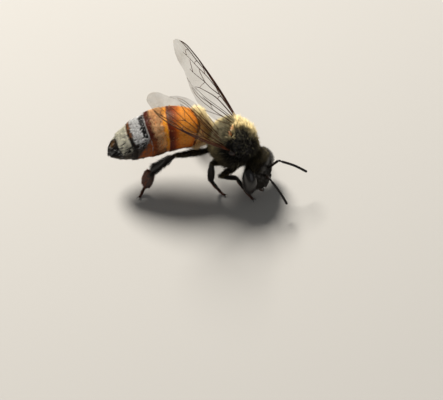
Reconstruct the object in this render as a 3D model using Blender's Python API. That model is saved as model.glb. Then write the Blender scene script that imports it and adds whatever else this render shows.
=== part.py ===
"""Honey bee worker, still, life-size: one closed solid for each named part of the body.

Shapes are modelled in millimetres and turned to metres at the end. The body frame has its origin in
the middle of the thorax, +X to the head, +Y to the bee's left and +Z to its back. The world frame has
the same origin until the end and is level with the floor, because the body is pitched head-down over
it. The finished bee stands on Z = 0, with the world origin under the middle of its box.
"""
import math

import bmesh
import bpy
from mathutils import Matrix, Vector

# stance
THORAX_CLEARANCE = 4.3  # middle of the thorax above the floor
BODY_PITCH = 25.0  # head-down tilt of the thorax, degrees
GAP = 0.06  # clearance between neighbouring solids

# thorax, out to the tips of its coat
THORAX_LENGTH = 4.1
THORAX_WIDTH = 4.0
THORAX_DEPTH = 3.7

# head, out to the tips of its short coat
HEAD_WIDTH = 3.7
HEAD_LENGTH = 3.5
HEAD_DEPTH = 1.9
HEAD_CENTRE = Vector((2.9, -0.62, -0.92))
HEAD_BOW = 38.0  # turn of the face's long axis forward of straight down, degrees
HEAD_TURN = 12.0  # turn of the face to the bee's right, degrees
EYE_LENGTH = 2.5
EYE_WIDTH = 1.05
EYE_DEPTH = 1.3
EYE_SPACING = 2.95  # between the middles of the eyes
EYE_RISE = 0.25  # middle of the eyes above the middle of the head
EYE_LEAN = 14.0  # lean of an eye's long axis in towards the mouth, degrees
CHIN_DROP = HEAD_LENGTH * 0.38  # root of the jaws below the middle of the head
MANDIBLE_LENGTH = 0.95
MANDIBLE_ROOT = Vector((0.15, 0.58, -CHIN_DROP))
MANDIBLE_POINT = Vector((0.22, 0.28, -CHIN_DROP - MANDIBLE_LENGTH * 0.7))
PROBOSCIS_LENGTH = 1.9
PROBOSCIS_ROOT = Vector((-0.45, 0.0, -CHIN_DROP * 0.8))
PROBOSCIS_TIP = PROBOSCIS_ROOT + Vector((-0.17, 0.0, -PROBOSCIS_LENGTH))
SCAPE_SOCKET = Vector((HEAD_DEPTH * 0.40, 0.34, 0.1))
SCAPE_LENGTH = 1.35
FLAGELLUM_LENGTH = 2.7
FEELER_WIDTH = 0.5
SCAPE_SWING = {"left": Vector((0.55, 0.25, 0.8)), "right": Vector((0.5, -0.6, 0.62))}  # world directions
FLAGELLUM_SWING = {"left": Vector((0.85, 0.2, -0.5)), "right": Vector((0.62, -0.2, -0.76))}

# abdomen, out to the tips of its coat: stations along its own bent axis
ABDOMEN_ROOT = Vector((-1.75, 0.0, -0.62))
ABDOMEN_BEND = (
    # distance, turn to the right, droop below the thorax axis
    (0.0, -2.0, 5.0),
    (3.0, 22.0, 26.4),
    (4.5, 38.0, 38.0),
    (8.7, 46.0, 48.0),
)
ABDOMEN_GIRTH = (
    # distance, half width, height above the axis, depth below it
    (0.0, 0.42, 0.42, 0.36),
    (0.3, 0.90, 1.0, 0.86),
    (0.8, 1.30, 1.45, 1.12),
    (1.6, 1.58, 1.70, 1.32),
    (2.8, 1.82, 1.80, 1.50),
    (4.2, 1.86, 1.74, 1.62),
    (5.4, 1.78, 1.62, 1.66),
    (6.5, 1.55, 1.38, 1.56),
    (7.4, 1.20, 1.12, 1.30),
    (8.15, 0.76, 0.80, 0.92),
    (8.7, 0.24, 0.24, 0.36),
)
SEGMENT_ENDS = (1.3, 3.55, 5.0, 6.55, 7.5, 8.7)
SEGMENT_LIP = 0.05  # how far a plate's hind edge stands over the next plate

# wings
WING_THICKNESS = 0.5
FOREWING_LENGTH = 9.1
FOREWING_CHORD = 2.85
HINDWING_LENGTH = 6.3
HINDWING_CHORD = 1.35
WING_ROOT = Vector((-0.25, 1.35, 0.75))
WING_TIP_SET = 0.95  # how far the tip lies behind the straightened costal edge
WING_AXIS = {  # root to tip in the body frame, +Y outwards
    "left": Vector((-8.15, 1.6, 3.45)),
    "right": Vector((-8.26, 1.9, 3.0)),
}
WING_ROLL = {"left": 10.0, "right": -16.0}  # trailing edge up or down, degrees

# legs: hip, knee, ankle and heel in the world frame, from the middle of the thorax
LEG_JOINTS = {
    "fore_right": ((0.6, -0.8, -1.75), (-0.4, -2.45, -1.45), (0.7, -1.4, -2.65), (1.4, -1.65, -3.45)),
    "fore_left": ((0.6, 0.8, -1.75), (0.9, 2.5, -1.6), (1.5, 2.35, -3.3), (1.9, 2.4, -4.05)),
    "mid_right": ((-0.85, -0.95, -1.6), (-1.2, -2.2, -0.4), (-1.15, -2.35, -2.55), (-0.7, -2.0, -3.85)),
    "mid_left": ((-0.85, 0.95, -1.6), (-0.7, 2.9, -0.8), (-0.8, 3.6, -2.8), (-0.7, 4.0, -4.0)),
    "hind_right": ((-1.85, -0.75, -0.85), (-4.1, -2.6, 0.0), (-5.95, -3.0, -2.4), (-6.25, -3.65, -3.8)),
    "hind_left": ((-1.8, 1.0, -1.1), (-3.8, 2.5, -0.9), (-5.0, 3.0, -3.3), (-5.7, 3.7, -4.05)),
}
# how far the tarsus runs on from the heel
TARSUS_REACH = {
    "fore_right": (1.0, -0.35),
    "fore_left": (0.5, 0.35),
    "mid_right": (0.8, -0.25),
    "mid_left": (0.15, 1.15),
    "hind_right": (-0.2, -0.9),
    "hind_left": (-0.9, 0.3),
}
# half widths across and along the swing of the leg: start, widest and end of each joint's profile
LEG_GIRTH = {
    "fore": {"femur": (0.26, 0.32, 0.25), "tibia": (0.25, 0.27, 0.25), "basitarsus": (0.25, 0.27, 0.25)},
    "mid": {"femur": (0.26, 0.32, 0.25), "tibia": (0.25, 0.28, 0.27), "basitarsus": (0.27, 0.34, 0.25)},
    "hind": {"femur": (0.26, 0.33, 0.26), "tibia": (0.25, 0.42, 0.5), "basitarsus": (0.4, 0.58, 0.42)},
}
COXA_LENGTH = 0.75
COXA_WIDTH = 0.36
TARSUS_WIDTH = 0.26

# mesh fineness
BODY_SIDES = 24
LIMB_SIDES = 8

SKIN_COLOURS = {
    "black": (0.020, 0.016, 0.013, 1.0),
    "brown": (0.060, 0.028, 0.014, 1.0),
    "amber": (0.500, 0.190, 0.035, 1.0),
    "cream": (0.520, 0.440, 0.260, 1.0),
    "wing": (0.420, 0.330, 0.210, 1.0),
}


def material(colour_name):
    """Finds or makes the plain material of one colour."""
    name = "cuticle_" + colour_name
    found = bpy.data.materials.get(name)
    if found:
        return found
    made = bpy.data.materials.new(name)
    made.use_nodes = True
    shader = made.node_tree.nodes["Principled BSDF"]
    shader.inputs["Base Color"].default_value = SKIN_COLOURS[colour_name]
    shader.inputs["Roughness"].default_value = 0.45
    shader.inputs["Metallic"].default_value = 0.0
    return made


def add_object(name, bm, colour_name, smooth_angle=40.0):
    """Makes an object from a bmesh, with outward faces and a material."""
    bmesh.ops.remove_doubles(bm, verts=bm.verts, dist=1e-5)
    bmesh.ops.recalc_face_normals(bm, faces=bm.faces)
    mesh = bpy.data.meshes.new(name)
    bm.to_mesh(mesh)
    bm.free()
    mesh.shade_smooth()
    mesh.set_sharp_from_angle(angle=math.radians(smooth_angle))
    mesh.materials.append(material(colour_name))
    obj = bpy.data.objects.new(name, mesh)
    bpy.context.collection.objects.link(obj)
    return obj


def basis(forward, up_hint):
    """Rotation whose +X runs along forward and whose +Z leans to up_hint."""
    x_axis = forward.normalized()
    y_axis = up_hint.cross(x_axis).normalized()
    z_axis = x_axis.cross(y_axis)
    return Matrix((x_axis, y_axis, z_axis)).transposed()


def loft(rings, sides):
    """Skins a row of rings: each is a centre, a rotation and its half width, top and bottom heights."""
    bm = bmesh.new()
    loops = []
    for centre, rotation, half_width, top, bottom in rings:
        made = bmesh.ops.create_circle(bm, cap_ends=False, radius=1.0, segments=sides)["verts"]
        for vert in made:
            height = top if vert.co.y > 0.0 else bottom
            vert.co = centre + rotation @ Vector((0.0, vert.co.x * half_width, vert.co.y * height))
        loops.append({edge for vert in made for edge in vert.link_edges})
    for first, second in zip(loops, loops[1:]):
        bmesh.ops.bridge_loops(bm, edges=list(first | second))
    for end in (loops[0], loops[-1]):
        bmesh.ops.contextual_create(bm, geom=list(end))
    return bm


def between(table, distance, column):
    """Reads one column of a table of stations at a distance, in a straight line between its rows."""
    for low, high in zip(table, table[1:]):
        if distance <= high[0]:
            share = (distance - low[0]) / (high[0] - low[0])
            return low[column] + share * (high[column] - low[column])
    return table[-1][column]


def body_to_world():
    return Matrix.Rotation(math.radians(BODY_PITCH), 4, "Y")


def grown_copy(obj, amount):
    """A guide copy of a solid with its skin pushed outwards, for cutting its neighbours clear."""
    copy = obj.copy()
    copy.data = obj.data.copy()
    bm = bmesh.new()
    bm.from_mesh(copy.data)
    bm.normal_update()
    moves = [vert.normal * amount for vert in bm.verts]
    for vert, move in zip(bm.verts, moves):
        vert.co += move
    bm.to_mesh(copy.data)
    bm.free()
    copy.name = obj.name + "_cutter"
    copy.hide_render = True
    copy.display_type = "WIRE"
    bpy.context.collection.objects.link(copy)
    return copy


def cut_clear(obj, cutter):
    """Takes the cutter out of a solid and keeps the largest body that is left."""
    cut = obj.modifiers.new("clear", "BOOLEAN")
    cut.operation = "DIFFERENCE"
    cut.solver = "EXACT"
    cut.object = cutter
    depsgraph = bpy.context.evaluated_depsgraph_get()
    evaluated = bpy.data.meshes.new_from_object(obj.evaluated_get(depsgraph))
    obj.modifiers.remove(cut)
    obj.data = evaluated
    keep_largest_body(obj.data)


def keep_largest_body(mesh):
    """Deletes every loose shell of a mesh but the one with the most corners."""
    bm = bmesh.new()
    bm.from_mesh(mesh)
    bmesh.ops.remove_doubles(bm, verts=bm.verts, dist=1e-4)
    bmesh.ops.dissolve_degenerate(bm, edges=bm.edges, dist=1e-4)
    left = set(bm.verts)
    shells = []
    while left:
        shell = {left.pop()}
        front = list(shell)
        while front:
            vert = front.pop()
            for edge in vert.link_edges:
                other = edge.other_vert(vert)
                if other not in shell:
                    shell.add(other)
                    front.append(other)
        left -= shell
        shells.append(shell)
    shells.sort(key=lambda shell: len(shell))
    for shell in shells[:-1]:
        bmesh.ops.delete(bm, geom=list(shell), context="VERTS")
    bm.to_mesh(mesh)
    bm.free()


def rounded_body(radius_x, radius_y, radius_z, shape, sides=BODY_SIDES, rows=14):
    """A sphere stretched to three radii, then shaped point by point by a function of its unit place."""
    bm = bmesh.new()
    bmesh.ops.create_uvsphere(bm, u_segments=sides, v_segments=rows, radius=1.0)
    bmesh.ops.rotate(bm, verts=bm.verts, matrix=Matrix.Rotation(math.radians(90.0), 3, "Y"))
    for vert in bm.verts:
        unit = vert.co.copy()
        widen = shape(unit)
        vert.co.x = unit.x * radius_x * widen[0]
        vert.co.y = unit.y * radius_y * widen[1]
        vert.co.z = unit.z * radius_z * widen[2]
    return bm


def make_thorax():
    """The thorax: a short barrel, humped behind and drawn in to the neck and the waist."""

    def shape(unit):
        draw_in = 1.0 - 0.10 * max(unit.x, 0.0) ** 2
        hump = 1.0 + 0.06 * math.cos(2.2 * (unit.x + 0.35)) if unit.z > 0.0 else 1.0
        fullness = 1.0 + 0.10 * (1.0 - unit.x * unit.x)
        return (1.0, draw_in * fullness / 1.1, hump * fullness / 1.14)

    bm = rounded_body(THORAX_LENGTH / 2, THORAX_WIDTH / 2, THORAX_DEPTH / 2, shape)
    obj = add_object("thorax", bm, "cream")
    obj.data.transform(body_to_world())
    return obj


def head_to_world():
    """Place of the head: local +X is the way the face looks and -Z runs down to the mouth."""
    bow = Matrix.Rotation(math.radians(-HEAD_BOW), 4, "Y")
    turn = Matrix.Rotation(math.radians(-HEAD_TURN), 4, "Z")
    return body_to_world() @ Matrix.Translation(HEAD_CENTRE) @ turn @ bow


def make_head():
    """The head: a rounded triangle seen from the front, thin from the side and hollowed behind."""

    def shape(unit):
        narrowing = 1.0 - 0.30 * max(-unit.z, 0.0) ** 1.5
        bulge = 1.0 if unit.x > 0.0 else 0.82 - 0.25 * (1.0 - unit.z * unit.z)
        return (bulge, narrowing, 1.0)

    bm = rounded_body(HEAD_DEPTH / 2, HEAD_WIDTH / 2, HEAD_LENGTH / 2, shape)
    obj = add_object("head", bm, "black")
    obj.data.transform(head_to_world())
    return obj


def make_eye(side, sign):
    """A compound eye: a tall oval on the side of the head, leaning in towards the mouth."""
    bm = rounded_body(EYE_DEPTH / 2, EYE_WIDTH / 2, EYE_LENGTH / 2, lambda unit: (1.0, 1.0, 1.0), 16, 12)
    obj = add_object("eye_" + side, bm, "black")
    lean = Matrix.Rotation(math.radians(EYE_LEAN * sign), 4, "X")
    place = Matrix.Translation(Vector((0.02, sign * EYE_SPACING / 2, EYE_RISE)))
    obj.data.transform(head_to_world() @ place @ lean)
    return obj


def straight_limb(name, start, end, girth, colour_name, flatness=1.0, up_hint=Vector((0.0, 0.0, 1.0))):
    """A joint of a leg or feeler from start to end, its half width read from a table over its length."""
    axis = end - start
    rotation = basis(axis, up_hint)
    rings = []
    for share, half_width in girth:
        thin = half_width if flatness == 1.0 else max(half_width * flatness, TARSUS_WIDTH)
        rings.append((start + axis * share, rotation, half_width, thin, thin))
    return add_object(name, loft(rings, LIMB_SIDES), colour_name)


def drawn_profile(first, widest, last, place=0.5):
    """Half widths of a limb that swells from first to widest and falls to last, with rounded ends."""
    middle = (first + widest) / 2
    return (
        (0.0, first * 0.6),
        (0.05, first),
        (place * 0.5, middle),
        (place, widest),
        (1.0 - (1.0 - place) * 0.5, (widest + last) / 2 + 0.25 * (widest - last)),
        (0.95, last),
        (1.0, last * 0.6),
    )


def pulled_in(start, end, amount):
    """The two ends of a joint, each moved in so that its neighbour has room."""
    step = (end - start).normalized() * amount
    return start + step, end - step


def make_leg(leg, thorax_cutter):
    """One leg: coxa, femur, tibia, basitarsus and a tarsus that lies flat on the floor."""
    kind = leg.split("_")[0]
    hip, knee, ankle, heel = (Vector(point) for point in LEG_JOINTS[leg])
    girth = LEG_GIRTH[kind]
    coxa_axis = (hip - Vector((hip.x * 0.7, 0.0, hip.z * 0.2))).normalized()
    coxa_start = hip - coxa_axis * COXA_LENGTH
    start, end = pulled_in(coxa_start, hip, GAP / 2)
    coxa = straight_limb("coxa_" + leg, start, end, drawn_profile(COXA_WIDTH, COXA_WIDTH, 0.27), "black")
    cut_clear(coxa, thorax_cutter)
    before = coxa
    for joint, first, second, place in (
        ("femur", hip, knee, 0.4),
        ("tibia", knee, ankle, 0.75 if kind == "hind" else 0.5),
        ("basitarsus", ankle, heel, 0.4),
    ):
        start, end = pulled_in(first, second, GAP)
        profile = drawn_profile(*girth[joint], place)
        part = straight_limb(joint + "_" + leg, start, end, profile, "brown", 0.55)
        if joint == "femur":
            cut_clear(part, thorax_cutter)
        cut_clear(part, grown_copy(before, GAP))
        before = part
    tarsus = make_tarsus(leg, heel, TARSUS_REACH[leg])
    cut_clear(tarsus, grown_copy(before, GAP))


def make_tarsus(leg, heel, reach):
    """The small joints of the foot and its claws, resting on a flat at floor level."""
    floor = -THORAX_CLEARANCE
    start = Vector((heel.x, heel.y, max(heel.z, floor + TARSUS_WIDTH)))
    step = Vector((reach[0], reach[1], 0.0))
    start = start + step.normalized() * GAP
    end = Vector((start.x + step.x, start.y + step.y, floor + TARSUS_WIDTH * 0.85))
    axis = end - start
    rotation = basis(axis, Vector((0.0, 0.0, 1.0)))
    rings = []
    beads = 4
    for index in range(beads * 2 + 1):
        share = index / (beads * 2)
        half_width = TARSUS_WIDTH * (0.86 if index % 2 == 0 else 1.0)
        rings.append((start + axis * share, rotation, half_width, half_width, half_width))
    bm = loft(rings, LIMB_SIDES)
    for vert in bm.verts:
        vert.co.z = max(vert.co.z, floor)
    return add_object("tarsus_" + leg, bm, "brown")


def abdomen_stations():
    """Centres and rotations along the abdomen's bent axis, at a fine step."""
    step = 0.05
    place = ABDOMEN_ROOT.copy()
    stations = []
    count = int(round(ABDOMEN_BEND[-1][0] / step))
    for index in range(count + 1):
        distance = index * step
        turn = math.radians(between(ABDOMEN_BEND, distance, 1))
        droop = math.radians(between(ABDOMEN_BEND, distance, 2))
        level = math.cos(droop)
        back = Vector((-math.cos(turn) * level, -math.sin(turn) * level, -math.sin(droop)))
        rotation = basis(back, Vector((0.0, 0.0, 1.0)))
        stations.append((distance, place.copy(), rotation))
        place = place + back * step
    return stations


def make_abdomen_segment(index, stations):
    """One length of the abdomen, its hind edge standing a little over the next plate."""
    low = 0.0 if index == 0 else SEGMENT_ENDS[index - 1] + GAP
    high = SEGMENT_ENDS[index]
    inner = 5
    wanted = [low + (high - low) * share / inner for share in range(inner + 1)]
    if index in (0, 5):
        extra = [row[0] for row in ABDOMEN_GIRTH if low < row[0] < high]
        wanted = sorted(set([low, high] + extra))
    rings = []
    for distance in wanted:
        row = min(stations, key=lambda station: abs(station[0] - distance))
        lip = SEGMENT_LIP * (distance - low) / (high - low) if index < 5 else 0.0
        half_width = between(ABDOMEN_GIRTH, distance, 1) + lip
        top = between(ABDOMEN_GIRTH, distance, 2) + lip
        bottom = between(ABDOMEN_GIRTH, distance, 3) + lip
        rings.append((row[1], row[2], half_width, top, bottom))
    colour_name = "amber" if index < 3 else "black"
    obj = add_object("abdomen_%d" % (index + 1), loft(rings, BODY_SIDES), colour_name)
    obj.data.transform(body_to_world())
    return obj


def wing_frame(side):
    """Matrix of a wing: local +X from root to tip, +Y from the costal edge to the trailing edge."""
    sign = 1.0 if side == "left" else -1.0
    reach = WING_AXIS[side]
    axis = Vector((reach.x, reach.y * sign, reach.z)).normalized()
    root = Vector((WING_ROOT.x, WING_ROOT.y * sign, WING_ROOT.z))
    inward = Vector((0.0, -sign, 0.0))
    inward = (inward - axis * inward.dot(axis)).normalized()
    face = axis.cross(inward)
    if face.z < 0.0:
        face = -face
    roll = math.radians(WING_ROLL[side])
    chord = inward * math.cos(roll) + face * math.sin(roll)
    normal = axis.cross(chord)
    return Matrix.Translation(root) @ Matrix((axis, chord, normal)).transposed().to_4x4()


def costal_edge(share):
    """The costal edge, bowed ahead of the straight line from root to tip."""
    return -0.45 * math.sin(math.pi * share ** 0.9) - WING_TIP_SET * share


def forewing_chord(share):
    """Chord of the forewing from its costal edge, over its length."""
    return FOREWING_CHORD * (0.12 + 0.88 * math.sin(math.pi * 0.5 * min(share / 0.66, 1.0)) ** 1.4)


def tip_rounding(share, start):
    """Falls from one to nought over the rounded tip of a wing."""
    if share <= start:
        return 1.0
    return math.sqrt(max(1.0 - ((share - start) / (1.0 - start)) ** 2, 0.0))


def forewing_outline():
    """Costal and trailing edges of the forewing at even steps, in wing coordinates."""
    steps = 16
    costal = []
    trailing = []
    for index in range(steps + 1):
        share = math.sin(math.pi / 2 * index / steps)
        middle = costal_edge(share) + forewing_chord(share) * 0.42
        reach = tip_rounding(share, 0.72)
        x = share * FOREWING_LENGTH
        costal.append((x, middle + (costal_edge(share) - middle) * reach))
        trailing.append((x, middle + (costal_edge(share) + forewing_chord(share) - middle) * reach))
    return costal, trailing


def hindwing_outline():
    """Edges of the hindwing, which hooks on behind the forewing."""
    steps = 12
    leading = []
    trailing = []
    for index in range(steps + 1):
        share = index / steps
        x = 0.25 + share * HINDWING_LENGTH
        ahead = x / FOREWING_LENGTH
        edge = costal_edge(ahead) + forewing_chord(ahead) + GAP
        chord = HINDWING_CHORD * (0.3 + 0.7 * math.sin(math.pi * share ** 0.75)) * tip_rounding(share, 0.6)
        leading.append((x, edge))
        trailing.append((x, edge + chord))
    return leading, trailing


def make_wing(name, outline, side, body_cutters):
    """A wing as a flat slab: its outline filled and given thickness."""
    leading, trailing = outline
    bm = bmesh.new()
    half = WING_THICKNESS / 2
    first = None
    for (x, low), (_, high) in zip(leading, trailing):
        high = max(high, low + 0.02)
        pair = [bm.verts.new((x, low, -half)), bm.verts.new((x, high, -half))]
        if first:
            bm.faces.new((first[0], pair[0], pair[1], first[1]))
        first = pair
    bm.normal_update()
    bottom = list(bm.faces)
    grown = bmesh.ops.extrude_face_region(bm, geom=bottom)["geom"]
    lifted = [item for item in grown if isinstance(item, bmesh.types.BMVert)]
    bmesh.ops.translate(bm, verts=lifted, vec=(0.0, 0.0, WING_THICKNESS))
    obj = add_object(name, bm, "wing")
    obj.data.transform(body_to_world() @ wing_frame(side))
    for cutter in body_cutters:
        cut_clear(obj, cutter)


def make_feeler(side, sign, head_cutters):
    """An antenna: the straight scape from the face, then the flagellum hanging from its elbow."""
    place = head_to_world()
    half = FEELER_WIDTH / 2
    socket = place @ Vector((SCAPE_SOCKET.x, sign * SCAPE_SOCKET.y, SCAPE_SOCKET.z))
    raised = SCAPE_SWING[side].normalized()
    elbow = socket + raised * SCAPE_LENGTH
    tip = elbow + FLAGELLUM_SWING[side].normalized() * FLAGELLUM_LENGTH
    scape = straight_limb("scape_" + side, socket, elbow, drawn_profile(half, half, half), "black")
    for cutter in head_cutters:
        cut_clear(scape, cutter)
    start = elbow + (tip - elbow).normalized() * GAP
    profile = drawn_profile(half, half * 1.04, half)
    flagellum = straight_limb("flagellum_" + side, start, tip, profile, "black")
    cut_clear(flagellum, grown_copy(scape, GAP))


def make_mouth(head_cutters):
    """The two mandibles, closed under the face, and the tongue folded back behind them."""
    place = head_to_world()
    parts = []
    for side, sign in (("left", 1.0), ("right", -1.0)):
        root = place @ Vector((MANDIBLE_ROOT.x, sign * MANDIBLE_ROOT.y, MANDIBLE_ROOT.z))
        point = place @ Vector((MANDIBLE_POINT.x, sign * MANDIBLE_POINT.y, MANDIBLE_POINT.z))
        profile = drawn_profile(0.3, 0.28, 0.25)
        parts.append(straight_limb("mandible_" + side, root, point, profile, "brown", 0.9))
    root = place @ PROBOSCIS_ROOT
    tip = place @ PROBOSCIS_TIP
    tip.z = max(tip.z, -THORAX_CLEARANCE + TARSUS_WIDTH + GAP)
    parts.append(straight_limb("proboscis", root, tip, drawn_profile(0.32, 0.3, 0.25), "brown", 0.85))
    for part in parts:
        for cutter in head_cutters:
            cut_clear(part, cutter)


def settle(objects):
    """Stands the bee on the floor over the world origin and turns millimetres to metres."""
    corners = [vert.co for obj in objects for vert in obj.data.vertices]
    low = Vector(min(corner[axis] for corner in corners) for axis in range(3))
    high = Vector(max(corner[axis] for corner in corners) for axis in range(3))
    shift = Matrix.Translation(Vector((-(low.x + high.x) / 2, -(low.y + high.y) / 2, THORAX_CLEARANCE)))
    scale = Matrix.Scale(0.001, 4)
    for obj in objects:
        obj.data.transform(scale @ shift)
        obj.data.update()


def main():
    for old in list(bpy.data.objects):
        bpy.data.objects.remove(old, do_unlink=True)
    thorax = make_thorax()
    thorax_cutter = grown_copy(thorax, GAP)
    head = make_head()
    cut_clear(head, thorax_cutter)
    head_cutter = grown_copy(head, GAP)
    eye_cutters = []
    for side, sign in (("left", 1.0), ("right", -1.0)):
        eye = make_eye(side, sign)
        cutter = grown_copy(eye, GAP / 2)
        cut_clear(head, cutter)
        eye_cutters.append(cutter)
    head_cutters = [head_cutter, *eye_cutters]
    for side, sign in (("left", 1.0), ("right", -1.0)):
        make_feeler(side, sign, head_cutters)
    make_mouth(head_cutters)
    stations = abdomen_stations()
    for index in range(len(SEGMENT_ENDS)):
        segment = make_abdomen_segment(index, stations)
        if index == 0:
            cut_clear(segment, thorax_cutter)
            waist_cutter = grown_copy(segment, GAP)
    for side in ("left", "right"):
        make_wing("forewing_" + side, forewing_outline(), side, [thorax_cutter])
        make_wing("hindwing_" + side, hindwing_outline(), side, [thorax_cutter, waist_cutter])
    for leg in LEG_JOINTS:
        make_leg(leg, thorax_cutter)
    for obj in list(bpy.data.objects):
        if obj.display_type == "WIRE":
            bpy.data.objects.remove(obj, do_unlink=True)
    settle(list(bpy.data.objects))


main()
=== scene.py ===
import math

import bmesh
import bpy
import numpy as np
from mathutils import Matrix, Vector


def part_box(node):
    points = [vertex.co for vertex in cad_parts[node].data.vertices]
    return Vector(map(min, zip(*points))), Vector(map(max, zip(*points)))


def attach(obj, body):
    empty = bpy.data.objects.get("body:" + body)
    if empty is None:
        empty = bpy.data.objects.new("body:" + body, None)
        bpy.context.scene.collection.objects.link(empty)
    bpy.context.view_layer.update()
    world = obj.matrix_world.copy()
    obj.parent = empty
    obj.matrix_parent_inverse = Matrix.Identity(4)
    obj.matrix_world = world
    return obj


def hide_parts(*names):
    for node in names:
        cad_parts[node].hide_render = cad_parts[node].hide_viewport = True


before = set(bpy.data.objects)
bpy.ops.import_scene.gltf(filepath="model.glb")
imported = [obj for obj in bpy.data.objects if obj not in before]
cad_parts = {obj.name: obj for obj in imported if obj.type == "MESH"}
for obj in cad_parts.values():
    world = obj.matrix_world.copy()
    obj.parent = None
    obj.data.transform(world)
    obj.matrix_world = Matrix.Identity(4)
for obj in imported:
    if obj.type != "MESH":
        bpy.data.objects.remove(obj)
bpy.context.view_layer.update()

# Honey bee worker. Everything is worked out in millimetres and turned to metres when a piece is finished.
# The body frame sits in the middle of the thorax: +X to the head, +Y to the bee's left, +Z to its back.

stance = {
    "bodyPitch": 25.0,  # head-down tilt of the thorax, degrees
    "thoraxClearance": 4.3,  # middle of the thorax above the floor
    "thoraxBoxSet": -0.0084,  # middle of the tilted thorax's box ahead of the thorax's own middle
    "headCentre": (2.9, -0.62, -0.92),
    "headBow": 38.0,  # turn of the face's long axis forward of straight down
    "headTurn": 12.0,  # turn of the face to the bee's right
}


def rotated(degrees, axis, size=4):
    return Matrix.Rotation(math.radians(degrees), size, axis)


toMetres = 0.001
sides = (("left", 1.0), ("right", -1.0))
upright = np.array((0.0, 0.0, 1.0))
lowThorax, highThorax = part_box("thorax")
boxMiddle = (lowThorax + highThorax) * 500.0  # in mm
rowMiddle = Vector((boxMiddle.x - stance["thoraxBoxSet"], boxMiddle.y, stance["thoraxClearance"]))
levelPlace = Matrix.Translation(rowMiddle)
bodyPlace = levelPlace @ rotated(stance["bodyPitch"], "Y")
headPlace = bodyPlace @ Matrix.Translation(stance["headCentre"])
headPlace = headPlace @ rotated(-stance["headTurn"], "Z") @ rotated(-stance["headBow"], "Y")


def turn(place, directions):
    return np.atleast_2d(directions) @ np.array(place.to_3x3()).T


def carry(place, points):
    return turn(place, points) + np.array(place.translation)


def carryBack(place, points):
    return (points - np.array(place.translation)) @ np.array(place.to_3x3())


def unit(vectors):
    return vectors / np.maximum(np.linalg.norm(vectors, axis=-1, keepdims=True), 1e-12)


def limit(value):
    return np.clip(value, 0.0, 1.0)


def ease(low, high, value):
    # rises softly from 0 at low to 1 at high
    share = limit((value - low) / (high - low))
    return share * share * (3.0 - 2.0 * share)


def bump(value, middle, width):
    return np.exp(-(((value - middle) / width) ** 2))


def angleAt(u):
    # angle round a body, from the middle of its back: the bee's right is positive
    return 2.0 * np.pi * (u - 0.5)


def smoothRead(table, places, column):
    # a soft curve through one column of a table whose first column is the place
    xs = np.array([row[0] for row in table], float)
    ys = np.array([row[column] for row in table], float)
    slopes = np.gradient(ys, xs)
    index = np.clip(np.searchsorted(xs, places, side="right") - 1, 0, len(xs) - 2)
    span = xs[index + 1] - xs[index]
    t = limit((places - xs[index]) / span)
    low = (2 * t**3 - 3 * t**2 + 1) * ys[index] + (t**3 - 2 * t**2 + t) * span * slopes[index]
    return low + (3 * t**2 - 2 * t**3) * ys[index + 1] + (t**3 - t**2) * span * slopes[index + 1]


def straightRead(table, places, column):
    return np.interp(places, [row[0] for row in table], [row[column] for row in table])


def smoothPath(points):
    # a curve through a few points, read at 0 to 1 along it
    points = np.array([tuple(point) for point in points], float)
    lengths = np.linalg.norm(np.diff(points, axis=0), axis=1)
    places = np.concatenate(([0.0], np.cumsum(lengths))) / lengths.sum()
    rows = [(place, *point) for place, point in zip(places, points)]
    return lambda t: np.stack([smoothRead(rows, t, axis + 1) for axis in range(points.shape[1])], axis=-1)


def patchNoise(across, along, seed):
    # soft random values from 0 to 1, one to each whole step of the two numbers
    size = 64
    table = np.random.default_rng(seed).uniform(size=(size, size))
    left, low = np.floor(across).astype(int), np.floor(along).astype(int)
    s, t = ease(0.0, 1.0, across - left), ease(0.0, 1.0, along - low)

    def rowAt(row):
        return table[left % size, row % size] * (1.0 - s) + table[(left + 1) % size, row % size] * s

    return rowAt(low) * (1.0 - t) + rowAt(low + 1) * t


def roundedEnds(t, first, last):
    start, end = limit(t / first), limit((1.0 - t) / last)
    return np.sqrt(1.0 - (1.0 - start) ** 2) * np.sqrt(1.0 - (1.0 - end) ** 2)


def spindle(wide, thin, first, last, start=1.0, growth=0.0):
    # girth of a shell with round ends, which may widen or narrow along it
    def girth(t):
        size = (start + growth * t) * roundedEnds(t, first, last)
        return wide * size, thin * size

    return girth


def linear(hexText):
    channels = [int(hexText[at:at + 2], 16) / 255.0 for at in (1, 3, 5)]
    return tuple(c / 12.92 if c <= 0.04045 else ((c + 0.055) / 1.055) ** 2.4 for c in channels) + (1.0,)


def feed(material, socket, value):
    # links a socket, or sets a colour or number
    if isinstance(value, bpy.types.NodeSocket):
        material.node_tree.links.new(value, socket)
    else:
        socket.default_value = linear(value) if isinstance(value, str) else value


def addNode(material, kind, fed=None, **settings):
    made = material.node_tree.nodes.new("ShaderNode" + kind)
    for name, value in settings.items():
        setattr(made, name, value)
    for name, value in (fed or {}).items():
        feed(material, made.inputs[name], value)
    return made


def perMm(size):
    return 1000.0 / size  # patterns per metre, for one pattern's real size in millimetres


def noise(material, size, detail):
    fed = {"Vector": addNode(material, "TexCoord").outputs["Object"], "Scale": perMm(size), "Detail": detail}
    return addNode(material, "TexNoise", fed).outputs["Fac"]


def pitted(material, size, strength, depth):
    # relief of small cells, depth in metres
    place = addNode(material, "TexCoord").outputs["Object"]
    cells = addNode(material, "TexVoronoi", {"Vector": place, "Scale": perMm(size)}).outputs["Distance"]
    fed = {"Height": cells, "Strength": strength, "Distance": depth}
    return addNode(material, "Bump", fed).outputs["Normal"]


def unwrapParts(material):
    unwrap = addNode(material, "UVMap", uv_map="SkinMap").outputs["UV"]
    return addNode(material, "SeparateXYZ", {"Vector": unwrap}).outputs


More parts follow.
